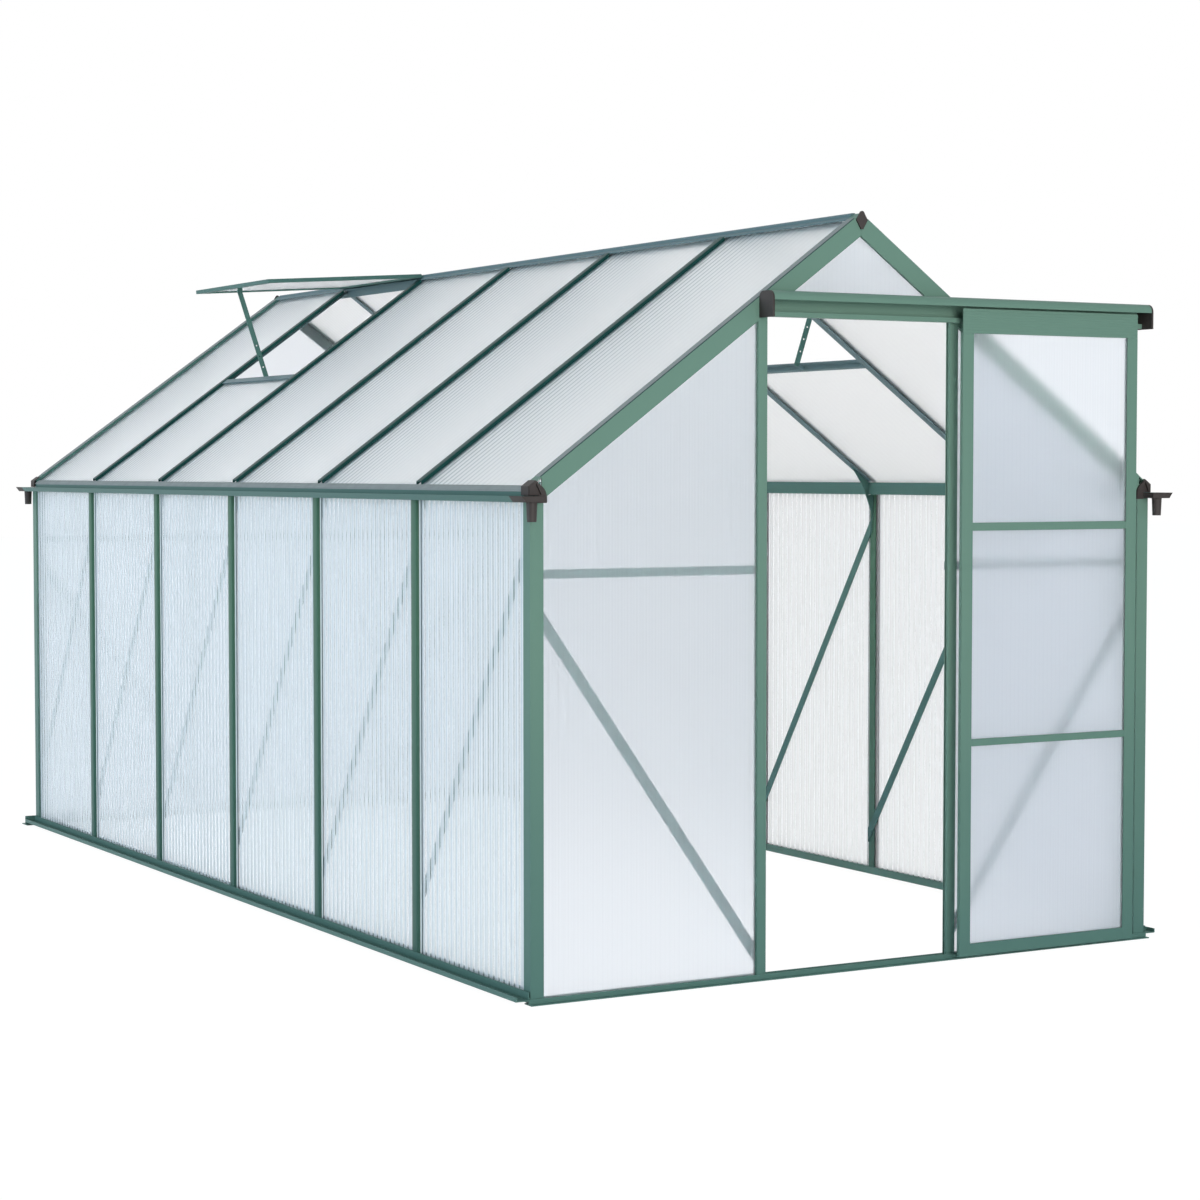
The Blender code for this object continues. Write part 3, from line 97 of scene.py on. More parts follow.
@dataclass(frozen=True)
class Layout:
    """The building's sizes, in metres, and the places that follow from them."""

    bay: float = 0.610
    bays: int = 6
    width: float = 1.835
    eave: float = 1.197
    ridge: float = 1.860
    gap: float = 0.0003
    bite: float = 0.001
    wall: float = 0.0025
    pane: float = 0.004
    end_inset: float = 0.0165
    bar_width: float = 0.028
    bar_depth: float = 0.0163
    bar_proud: float = 0.003
    bar_web: float = 0.003
    pane_recess: float = 0.0095
    gutter_floor: float = 1.160
    eave_back: float = 0.0305
    eave_lip: float = 0.0125
    side_lift: float = 0.010
    post_width: float = 0.0351
    rafter_depth: float = 0.045
    rafter_width: float = 0.033
    jamb_inset: float = 0.0218
    jamb_width: float = 0.026
    cap_front: float = 0.045
    track_reach: float = 0.060
    leaf_length: float = 0.534
    stay_thickness: float = 0.003
    lug_reach: float = 0.008

    @property
    def half(self) -> float:
        """Half the gable's width."""
        return self.width / 2

    @property
    def length(self) -> float:
        """The length between the gables' outer faces."""
        return self.bay * self.bays

    @property
    def slope(self) -> float:
        """The roof's rise for each metre across."""
        return (self.ridge - self.eave) / self.half

    @property
    def pitch(self) -> float:
        """The roof's angle."""
        return math.atan(self.slope)

    @property
    def jamb(self) -> float:
        """How far a door jamb stands from the centre line."""
        return self.width / 6 - self.jamb_inset

    @property
    def foot(self) -> float:
        """The height of the posts' feet."""
        return self.wall + self.gap

    @property
    def top(self) -> float:
        """The height of the posts' heads."""
        return self.gutter_floor - self.gap

    @property
    def bar_face(self) -> float:
        """How far inside the wall plane the bars' inner faces lie."""
        return self.bar_depth - self.bar_proud

    @property
    def pane_face(self) -> float:
        """How far inside the wall plane the side panes' outer faces lie."""
        return self.pane_recess - self.bar_proud

    @property
    def side_foot(self) -> float:
        """The height of the side walls' bars and panes."""
        return self.side_lift + self.foot

    @property
    def middle(self) -> float:
        """The building y that lies over the origin."""
        return (self.length + self.cap_front - self.track_reach) / 2

    def y(self, y: float) -> float:
        """A building y, from the front gable, as a frame y."""
        return y - self.middle

    def gable_y(self, end: End, depth: float) -> float:
        """The frame y at a depth behind a gable's outer face."""
        return self.y(self.length - depth if end is End.REAR else depth)

    def inward(self, side: Side, reach: float) -> float:
        """The x that lies a reach inside a side wall's plane."""
        return side.value * (self.half - reach)

    def beside(self, side: Side) -> Place:
        """Places (reach inside a wall's plane, height, building y)."""
        return lambda reach, z, y: Vector((self.inward(side, reach), self.y(y), z))

    def roof_z(self, x: float, depth: float = 0.0) -> float:
        """The roof's height at x, at a depth square to the slope."""
        return self.ridge - self.slope * abs(x) - depth / math.cos(self.pitch)

    def roof_point(self, side: Side, along: float, depth: float, y: float) -> Vector:
        """A point on or under a slope.

        Args:
            side: The slope.
            along: The point's way up from the eave.
            depth: Its depth under the caps.
            y: Its building y.

        Returns:
            The point in the frame.
        """
        cos, sin = math.cos(self.pitch), math.sin(self.pitch)
        reach = along * cos + depth * sin
        return Vector((self.inward(side, reach), self.y(y), self.eave + along * sin - depth * cos))

    def plumb(self, reach: float) -> Cut:
        """The way up the slope at which a plumb cut meets a depth."""
        cos, sin = math.cos(self.pitch), math.sin(self.pitch)
        return lambda across, depth: (reach - depth * sin) / cos

    def pane_span(self, number: int) -> Point2:
        """Where a bay's pane starts and ends.

        Args:
            number: The bay, from 0 beside the door.

        Returns:
            The building y of its two edges.
        """
        edge = self.bar_web / 2 + self.gap
        start = self.bay * number + (edge if number else self.end_inset)
        end = self.bay * (number + 1) - (edge if number < self.bays - 1 else self.end_inset)
        return start, end


PLAN = Layout()


# Finishes

WORN_FROM = 0.35
WORN_FULLY = 0.75


def feed(node: Node, inputs: Mapping[str | int, Socket | float | tuple[float, ...]]) -> Node:
    """Link or set a node's inputs.

    Args:
        node: The node.
        inputs: A socket to link, or a plain value, for each input.

    Returns:
        The node itself.
    """
    for key, value in inputs.items():
        if isinstance(value, bpy.types.NodeSocket):
            node.id_data.links.new(value, node.inputs[key])
        else:
            node.inputs[key].default_value = value
    return node


def add(
    tree: Tree,
    kind: str,
    inputs: Mapping[str | int, Socket | float | tuple[float, ...]],
    operation: str = "",
) -> Node:
    """Add a shader node.

    Args:
        tree: The tree it goes to.
        kind: Its type.
        inputs: Its inputs, as for feed.
        operation: What a maths node does.

    Returns:
        The node.
    """
    node = tree.nodes.new(f"ShaderNode{kind}")
    if operation:
        node.operation = operation
    return feed(node, inputs)


def maths(tree: Tree, operation: str, *terms: Socket | float) -> Socket:
    """The result of a maths node on its terms."""
    return add(tree, "Math", dict(enumerate(terms)), operation).outputs[0]


def spread(tree: Tree, value: Socket, **ends: float) -> Socket:
    """A value spread from one range to another: from_min, from_max, to_min and to_max."""
    inputs = {name.replace("_", " ").title(): end for name, end in ends.items()}
    return add(tree, "MapRange", {"Value": value, **inputs}).outputs["Result"]


def noise(tree: Tree, vector: Socket, scale: float, detail: float) -> Socket:
    """The factor of a noise texture."""
    return add(tree, "TexNoise", {"Vector": vector, "Scale": scale, "Detail": detail}).outputs["Fac"]


def ramp(tree: Tree, factor: Socket, *stops: tuple[float, Triple]) -> Socket:
    """Add a colour ramp.

    Args:
        tree: The tree it goes to.
        factor: What it reads.
        stops: Two positions with their colours.

    Returns:
        Its colour.
    """
    node = add(tree, "ValToRGB", {"Fac": factor})
    for element, (position, color) in zip(node.color_ramp.elements, stops):
        element.position = position
        element.color = (*color, 1.0)
    return node.outputs["Color"]


def bump(tree: Tree, height: Socket, strength: float, distance: float) -> Socket:
    """The normal of a bump, whose depth is in metres."""
    return add(tree, "Bump", {"Height": height, "Strength": strength, "Distance": distance}).outputs["Normal"]


def worn(tree: Tree, spot: Socket, scale: float, color: Triple, wear: Triple) -> Socket:
    """A colour with soft patches of a worn one."""
    return ramp(tree, noise(tree, spot, scale, 3.0), (WORN_FROM, color), (WORN_FULLY, wear))


def new_material(name: str) -> tuple[Material, Node, Socket]:
    """Make a node material.

    Args:
        name: Its name.

    Returns:
        The material, its shader, and the object's coordinates.
    """
    material = bpy.data.materials.new(name)
    material.use_nodes = True
    tree = material.node_tree
    return material, tree.nodes["Principled BSDF"], add(tree, "TexCoord", {}).outputs["Object"]


@dataclass(frozen=True)
class PowderCoat:
    """Satin green powder coat on aluminium, with a fine orange-peel skin; its colour runs darker towards the
    ground, which is painted shade.
    """

    SLOT: ClassVar[str] = "green_frame"
    name: str
    # Painted shade: high is the colour up the building, low the darker one near the ground.
    high: Triple = (0.142, 0.236, 0.182)
    low: Triple = (0.088, 0.172, 0.146)
    gloss: Triple = (0.05, 0.26, 0.26)
    drift: float = 0.30
    drift_scale: float = 3.0
    low_stop: float = 0.15
    high_stop: float = 1.0
    roughness: float = 0.44
    specular: float = 0.25
    peel: float = 0.05
    peel_scale: float = 900.0
    peel_depth: float = 0.0004

    def build(self) -> Material:
        """Make the material.

        Returns:
            A node material on object coordinates.
        """
        material, shader, spot = new_material(self.name)
        tree = material.node_tree
        # Painted shade: the colour ramps with height from the darker low colour to the high one, with soft
        # patches.
        height = add(tree, "SeparateXYZ", {0: spot}).outputs["Z"]
        patches = noise(tree, spot, self.drift_scale, 3.0)
        height = maths(tree, "MULTIPLY_ADD", patches, self.drift, height)
        skin = noise(tree, spot, self.peel_scale, 2.0)
        feed(shader, {
            "Base Color": ramp(tree, height, (self.low_stop, self.low), (self.high_stop, self.high)),
            "Roughness": self.roughness,
            "Specular IOR Level": self.specular,
            "Specular Tint": (*self.gloss, 1.0),
            "Normal": bump(tree, skin, self.peel, self.peel_depth),
        })
        return material


@dataclass(frozen=True)
class MouldedPlastic:
    """Dark brown-black moulded plastic with a fine spark-eroded grain."""

    SLOT: ClassVar[str] = "dark_plastic"
    name: str = "dark_moulded_plastic"
    color: Triple = (0.036, 0.028, 0.026)
    pale: Triple = (0.048, 0.039, 0.036)
    patch_scale: float = 14.0
    roughness: float = 0.52
    specular: float = 0.25
    grain: float = 0.25
    grain_scale: float = 1600.0
    grain_depth: float = 0.0003

    def build(self) -> Material:
        """Make the material.

        Returns:
            A node material on object coordinates.
        """
        material, shader, spot = new_material(self.name)
        tree = material.node_tree
        skin = noise(tree, spot, self.grain_scale, 3.0)
        feed(shader, {
            "Base Color": worn(tree, spot, self.patch_scale, self.color, self.pale),
            "Roughness": self.roughness,
            "Specular IOR Level": self.specular,
            "Normal": bump(tree, skin, self.grain, self.grain_depth),
        })
        return material


@dataclass(frozen=True)
class StripFinish:
    """A flat matt strip, duller in soft patches: pale and dark strips beside the side bars, and a grey strip
    that is a painted reflection of the sky on up-facing paint.
    """

    SLOT: ClassVar[str] = "dark_plastic"
    name: str
    color: Triple
    wear: float = 0.88
    patch_scale: float = 25.0
    roughness: float = 0.6
    specular: float = 0.1

    def build(self) -> Material:
        """Make the material.

        Returns:
            A node material on object coordinates.
        """
        material, shader, spot = new_material(self.name)
        tree = material.node_tree
        dull = tuple(c * self.wear for c in self.color)
        feed(shader, {
            "Base Color": worn(tree, spot, self.patch_scale, self.color, dull),
            "Roughness": self.roughness,
            "Specular IOR Level": self.specular,
        })
        return material


@dataclass(frozen=True)
class TwinWallSheet:
    """Clear twin-wall sheet: a milky, cool veil, finely ribbed on its outer face.

    Each second rib is a clearer line. A roof's ribs fade away from the bar behind each bay: the ribs are the
    sheet's own, their fading is a painted reflection of the bar.
    """

    SLOT: ClassVar[str] = "twin_wall_pane"
    name: str
    axis: str
    outward: str
    pitch: float
    color: Triple = (0.915, 0.918, 0.925)
    rib: Triple = (0.660, 0.690, 0.712)
    between: float = 0.44
    window: float = 0.94
    inner: float = 0.90
    roughness: float = 0.50
    clear_roughness: float = 0.08
    ior: float = 1.22
    strong_rib: Point2 = (0.30, 0.72)
    fine_rib: Point2 = (0.35, 0.90)
    fades: bool = False
    fade_start: float = 0.25
    fade_end: float = 0.98

    def build(self) -> Material:
        """Make the material.

        Returns:
            A node material on object coordinates.
        """
        material, shader, spot = new_material(self.name)
        tree = material.node_tree
        place = add(tree, "SeparateXYZ", {0: spot}).outputs
        normal = add(tree, "SeparateXYZ", {0: spot.node.outputs["Normal"]}).outputs
        strong = self.line(tree, place[self.axis], self.pitch, *self.strong_rib)
        fine = self.line(tree, place[self.axis], self.pitch / 2, *self.fine_rib)
        if self.fades:
            strong = fine = maths(tree, "MULTIPLY", fine, self.fading(tree, place[self.axis]))
        facing = maths(tree, "MULTIPLY", place[self.outward], normal[self.outward])
        outer = maths(tree, "GREATER_THAN", facing, 0.0)
        clear = spread(tree, strong, to_min=self.between, to_max=self.window)
        weight = add(tree, "Mix", {"Factor": outer, "A": self.inner, "B": clear}).outputs["Result"]
        ribbed = maths(tree, "MULTIPLY", fine, outer)
        blur = self.roughness
        if self.clear_roughness != self.roughness:
            blur = spread(tree, strong, to_min=self.roughness, to_max=self.clear_roughness)
        feed(shader, {
            "Base Color": ramp(tree, ribbed, (0.0, self.color), (1.0, self.rib)),
            "Transmission Weight": weight,
            "Roughness": blur,
            "IOR": self.ior,
        })
        return material

    def line(self, tree: Tree, across: Socket, pitch: float, start: float, full: float) -> Socket:
        """A narrow rib once in each pitch.

        Args:
            tree: The material's tree.
            across: The coordinate across the ribs.
            pitch: The way from one rib to the next.
            start: The height of the cosine at which the rib begins.
            full: The height at which it is complete.

        Returns:
            A factor that rises from 0 between the ribs to 1 on each.
        """
        wave = maths(tree, "COSINE", maths(tree, "MULTIPLY", across, math.tau / pitch))
        return spread(tree, wave, from_min=start, from_max=full)

    def fading(self, tree: Tree, across: Socket) -> Socket:
        """How plainly the ribs show, as a painted reflection of the bar: most beside the bar behind a bay, and
        not beside the one before it.

        Args:
            tree: The material's tree.
            across: The coordinate along the building.

        Returns:
            A factor from 0 to 1 that starts again at each bar.
        """
        past_bar = maths(tree, "WRAP", maths(tree, "ADD", across, PLAN.middle), PLAN.bay, 0.0)
        return spread(tree, past_bar, from_min=PLAN.bay * self.fade_start, from_max=PLAN.bay * self.fade_end)


class Surface(NamedTuple):
    """A finish on the shelf: its material, and the record's slot that it takes."""

    material: Material
    slot: str


def made(finish: PowderCoat | MouldedPlastic | StripFinish | TwinWallSheet) -> Surface:
    """A palette's entry, made when the palette is."""
    return field(default_factory=lambda: Surface(finish.build(), finish.SLOT))


@dataclass
class Palette:
    """Every finish, built once."""

    green: Surface = made(PowderCoat("green_powder_coat"))
    # Painted shade: a darker copy of the frame's green paint, for the side walls' glazing bars.
    shaded_side_green: Surface = made(PowderCoat("shaded_side_coat", (0.076, 0.156, 0.102), (0.054, 0.118, 0.096)))
    # Painted shade: a darker, bluer copy of the frame's green paint, for the gutters, stays, braces, ties,
    # knee plates, brace nuts, rear rafters, vent frames and the eave's shade strip.
    shaded_teal: Surface = made(PowderCoat("shaded_teal_coat", (0.080, 0.165, 0.142), (0.056, 0.128, 0.124)))
    # Painted light: a greyer, bluer copy of the frame's green paint, standing for sky light on the ridge, the
    # roof bars' stems and the vent sills.
    sky_lit_grey: Surface = made(PowderCoat("sky_lit_coat", (0.122, 0.186, 0.196), (0.100, 0.160, 0.170)))
    # Painted shade: a much darker copy of the frame's green paint, for the roof bars' up-facing caps and the
    # dark edge strips on the rafters' tops.
    shaded_deep_green: Surface = made(PowderCoat("shaded_deep_coat", (0.012, 0.052, 0.046), (0.020, 0.062, 0.058)))
    dark: Surface = made(MouldedPlastic())
    side_sheet: Surface = made(TwinWallSheet("side_sheet", "Y", "X", 0.0262))
    # Partly painted reflection: the roof's dark rib lines are real ribs, made strongest beside a bar to stand
    # for the bar's reflection in the sheet.
    roof_sheet: Surface = made(TwinWallSheet(
        "roof_sheet", "Y", "X", 0.0524, (0.992, 0.992, 0.992), (0.36, 0.40, 0.42),
        between=0.88, window=0.42, inner=0.94, clear_roughness=0.50, fades=True,
    ))
    gable_sheet: Surface = made(TwinWallSheet(
        "gable_sheet", "X", "Y", 0.0262, (0.846, 0.870, 0.904), (0.822, 0.846, 0.880),
        between=0.85, window=0.88, inner=0.92, roughness=0.66, clear_roughness=0.50,
    ))
    pale_seal: Surface = made(StripFinish("pale_seal", (0.92, 0.88, 0.84)))
    # Painted reflection: a grey strip standing for the sky's reflection on the frame's up-facing paint, at the
    # eaves and on the rafters' tops.
    painted_sheen: Surface = made(StripFinish("painted_sheen", (0.34, 0.34, 0.32)))
    dark_seal: Surface = made(StripFinish("dark_seal", (0.055, 0.075, 0.085)))


# Mesh making


class Shape:
    """A mesh in the making: closed bodies gathered one after another."""

    def __init__(self) -> None:
        """Start empty."""
        self.mesh = bmesh.new()

    def sweep(self, outline: Sequence[Point2], place: Place, start: float | Cut, end: float | Cut) -> "Shape":
        """Add a closed prism.

        Args:
            outline: The section's points.
            place: Turns (a, b, reach) into a point.
            start: Where it starts, or a function of (a, b) for a slanted cut.
            end: Where it ends, or a function of (a, b).

        Returns:
            The shape itself.
        """
        rings = []
        for reach in (start, end):
            at = reach if callable(reach) else lambda a, b, reach=reach: reach
            rings.append([self.mesh.verts.new(place(a, b, at(a, b))) for a, b in outline])
        self.skin(rings)
        return self

    def turned(self, profile: Sequence[Point2], center: Vector, axis: Vector, sides: int) -> "Shape":
        """Add a closed solid of revolution with flat ends.

        Args:
            profile: (along, radius) points.
            center: The axis's foot.
            axis: The axis's direction.
            sides: How many sides it has; 6 makes a hexagon.

        Returns:
            The shape itself.
        """
        axis = axis.normalized()
        across = axis.orthogonal().normalized()
        beside = axis.cross(across)
        turns = [math.tau * i / sides for i in range(sides)]
        outs = [across * math.cos(turn) + beside * math.sin(turn) for turn in turns]
        self.skin([
            [self.mesh.verts.new(center + axis * along + out * radius) for out in outs]
            for along, radius in profile
        ])
        return self

    def sheet(
        self, columns: Sequence[float], foot: Line, head: Line, half: Line, place: Place
    ) -> "Shape":
        """Add a fluted sheet, whose flutes run from foot to head.

        Args:
            columns: Places across the flutes.
            foot: The foot's height at a column.
            head: The head's height at a column.
            half: Half the sheet's thickness at a column.
            place: Turns (across, height, depth from the middle) into a point.

        Returns:
            The shape itself.
        """
        rings = []
        for a in columns:
            thick = half(a)
            corners = ((foot(a), -thick), (head(a), -thick), (head(a), thick), (foot(a), thick))
            rings.append([self.mesh.verts.new(place(a, b, d)) for b, d in corners])
        self.skin(rings)
        return self

    def skin(self, rings: Sequence[Sequence[bmesh.types.BMVert]]) -> None:
        """Join rings of points into a closed body.

        Args:
            rings: The rings in order, each with as many points.
        """
        self.mesh.faces.new(rings[0])
        self.mesh.faces.new(list(reversed(rings[-1])))
        for near, far in zip(rings, rings[1:]):
            for i in range(len(near)):
                j = (i + 1) % len(near)
                self.mesh.faces.new((near[j], near[i], far[i], far[j]))

    def done(self, name: str) -> bpy.types.Mesh:
        """Close the shape into a mesh whose faces point out.

        Args:
            name: The mesh's name.

        Returns:
            The mesh.
        """
        bmesh.ops.recalc_face_normals(self.mesh, faces=self.mesh.faces)
        mesh = bpy.data.meshes.new(name)
        self.mesh.to_mesh(mesh)
        self.mesh.free()
        return mesh


class RepeatTree:
    """A Geometry Nodes tree that repeats a pattern in equal steps."""

    def __init__(self) -> None:
        """Build the tree."""
        self.tree = bpy.data.node_groups.new("repeat_in_steps", "GeometryNodeTree")
        wanted = (("Pattern", "Geometry"), ("Count", "Int"), ("Step", "Vector"), ("Finish", "Material"))
        self.inputs = {}
        for name, kind in wanted:
            socket = self.tree.interface.new_socket(name, in_out="INPUT", socket_type=f"NodeSocket{kind}")
            self.inputs[name] = socket.identifier
        self.tree.interface.new_socket("Repeated", in_out="OUTPUT", socket_type="NodeSocketGeometry")
        new = self.tree.nodes.new
        source, out = new("NodeGroupInput"), new("NodeGroupOutput")
        line, spots = new("GeometryNodeMeshLine"), new("GeometryNodeInstanceOnPoints")
        real, paint = new("GeometryNodeRealizeInstances"), new("GeometryNodeSetMaterial")
        line.mode = "OFFSET"
        for giver, given, taker, taken in (
            (source, "Count", line, "Count"),
            (source, "Step", line, "Offset"),
            (line, "Mesh", spots, "Points"),
            (source, "Pattern", spots, "Instance"),
            (spots, "Instances", real, "Geometry"),
            (real, "Geometry", paint, "Geometry"),
            (source, "Finish", paint, "Material"),
            (paint, "Geometry", out, "Repeated"),
        ):
            self.tree.links.new(giver.outputs[given], taker.inputs[taken])

    def apply(self, piece: bpy.types.Object, count: int, step: Vector, finish: Material) -> None:
        """Repeat a piece's mesh in place.

        Args:
            piece: The object that holds the pattern.
            count: How many there are.
            step: The way from one to the next.
            finish: The finish of the result.
        """
        modifier = piece.modifiers.new("repeat", "NODES")
        modifier.node_group = self.tree
        modifier[self.inputs["Count"]] = count
        modifier[self.inputs["Step"]] = step
        modifier[self.inputs["Finish"]] = finish
        bpy.context.view_layer.update()
        graph = bpy.context.evaluated_depsgraph_get()
        baked = bpy.data.meshes.new_from_object(piece.evaluated_get(graph))
        piece.modifiers.clear()
        old = piece.data
        piece.data = baked
        bpy.data.meshes.remove(old)


class Workshop:
    """Turns shapes into pieces that ride on the frame."""

    def __init__(self, palette: Palette) -> None:
        """Keep the finishes and the repeating tree."""
        self.palette = palette
        self.repeat = RepeatTree()

    def piece(
        self,
        name: str,
        shape: Shape,
        finish: Surface,
        body: str = "frame",
        stands_for: Sequence[str] = (),
        count: int = 1,
    ) -> None:
        """Make a piece.

        Args:
            name: The piece's name.
            shape: Its shape, in the frame's coordinates.
            finish: Its finish.
            body: The body it rides on.
            stands_for: The CAD nodes it stands for.
            count: In how many bays the shape is repeated.
        """
        piece = bpy.data.objects.new(name, shape.done(name))
        bpy.context.scene.collection.objects.link(piece)
        if count > 1:
            self.repeat.apply(piece, count, Vector((0.0, PLAN.bay, 0.0)), finish.material)
        piece.data.name = name
        piece.data.materials.clear()
        piece.data.materials.append(finish.material)
        piece.data.shade_smooth()
        piece.data.set_sharp_from_angle(angle=SHARP_ANGLE)
        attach(piece, body)
        if stands_for:
            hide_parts(*stands_for)
        LOG.info("%s rides on %s: %d faces", name, body, len(piece.data.polygons))

    def refinish(self, starts: str | tuple[str, ...], finish: Surface) -> None:
        """Give CAD nodes that keep their shape a finish.

        Args:
            starts: What the nodes' names start with.
            finish: Their finish.
        """
        for name in sorted(frame["nodes"]):
            if name.startswith(starts):
                node = frame["nodes"][name]
                node.data.materials.clear()
                node.data.materials.append(finish.material)
                LOG.info("%s takes %s", name, finish.material.name)


# Sections

EASED_EDGE = ((0.0014, 0.0), (0.0005, 0.0003), (0.0, 0.0012))
LIP_SKIN = 0.002
NUT = ((-0.0028, 0.0060), (0.0012, 0.0060), (0.0016, 0.0054))


def bar_outline(width: float) -> list[Point2]:
    """The capped T of a glazing bar, with eased edges.

    Args:
        width: The cap's width.

    Returns:
        The outline, as (across, depth).
    """
    half, web = width / 2, PLAN.bar_web / 2
    flange = PLAN.bar_depth - PLAN.wall
    leg = PLAN.pane_recess - PLAN.gap
    right = [(half - inset, depth) for inset, depth in EASED_EDGE]
    right += [(half, leg), (half - LIP_SKIN, leg), (half - LIP_SKIN, PLAN.wall), (web, PLAN.wall)]
    right += [(web, flange), (half, flange), (half, PLAN.bar_depth)]
    return right + [(-a, d) for a, d in reversed(right)]


def strip_outline(start: Point2, end: Point2, width: float) -> list[Point2]:
    """A flat strip between two points, its ends cut plumb.

    Args:
        start: One end's middle.
        end: The other end's middle.
        width: The strip's width.

    Returns:
        The outline.
    """
    half = width / 2 * math.hypot(1.0, (end[1] - start[1]) / (end[0] - start[0]))
    low = [(start[0], start[1] - half), (end[0], end[1] - half)]
    return low + [(end[0], end[1] + half), (start[0], start[1] + half)]


def arc(center: Point2, radius: float, start: float, end: float, steps: int) -> list[Point2]:
    """Points along an arc.

    Args:
        center: Its centre.
        radius: Its radius.
        start: Its first angle, in degrees.
        end: Its last angle, in degrees.
        steps: How many steps it has.

    Returns:
        The points.
    """
    turns = [math.radians(start + (end - start) * i / steps) for i in range(steps + 1)]
    return [(center[0] + radius * math.cos(turn), center[1] + radius * math.sin(turn)) for turn in turns]


@dataclass(frozen=True)
class Fluting:
    """How a sheet is fluted."""

    pitch: float = 0.0262
    thin: float = 0.0018
    steps: int = 8

    def columns(self, start: float, end: float) -> list[float]:
        """Places across a sheet, a few for each flute.

        Args:
            start: One edge.
            end: The other edge.

        Returns:
            The places, in order.
        """
        step = self.pitch / self.steps
        count = max(2, round(abs(end - start) / step))
        return [start + (end - start) * i / count for i in range(count + 1)]

    def half(self, start: float) -> Line:
        """Half the sheet's thickness, as a function of the place across it.

        Args:
            start: Where a flute's thin line lies.

        Returns:
            The function.
        """
        full = PLAN.pane / 2
        swell = (full - self.thin) / 2
        return lambda a: full - swell * (1 + math.cos(math.tau * (a - start) / self.pitch))

    def add_pane(
        self, shape: Shape, span: Point2, foot: Line, head: Line, place: Place, breaks: Sequence[float] = ()
    ) -> None:
        """Add a pane to a shape.

        Args:
            shape: The shape it goes to.
            span: Its first and last edge.
            foot: Its foot at a column.
            head: Its head at a column.
            place: Turns (across, height, depth from its middle) into a point.
            breaks: Places where its head turns, such as the ridge.
        """
        columns = sorted({*self.columns(*span), *breaks})
        shape.sheet(columns, foot, head, self.half(span[0]), place)


SIDE_FLUTES = Fluting()
GABLE_FLUTES = Fluting(pitch=0.0084, thin=0.0019, steps=6)


# Sub-assemblies


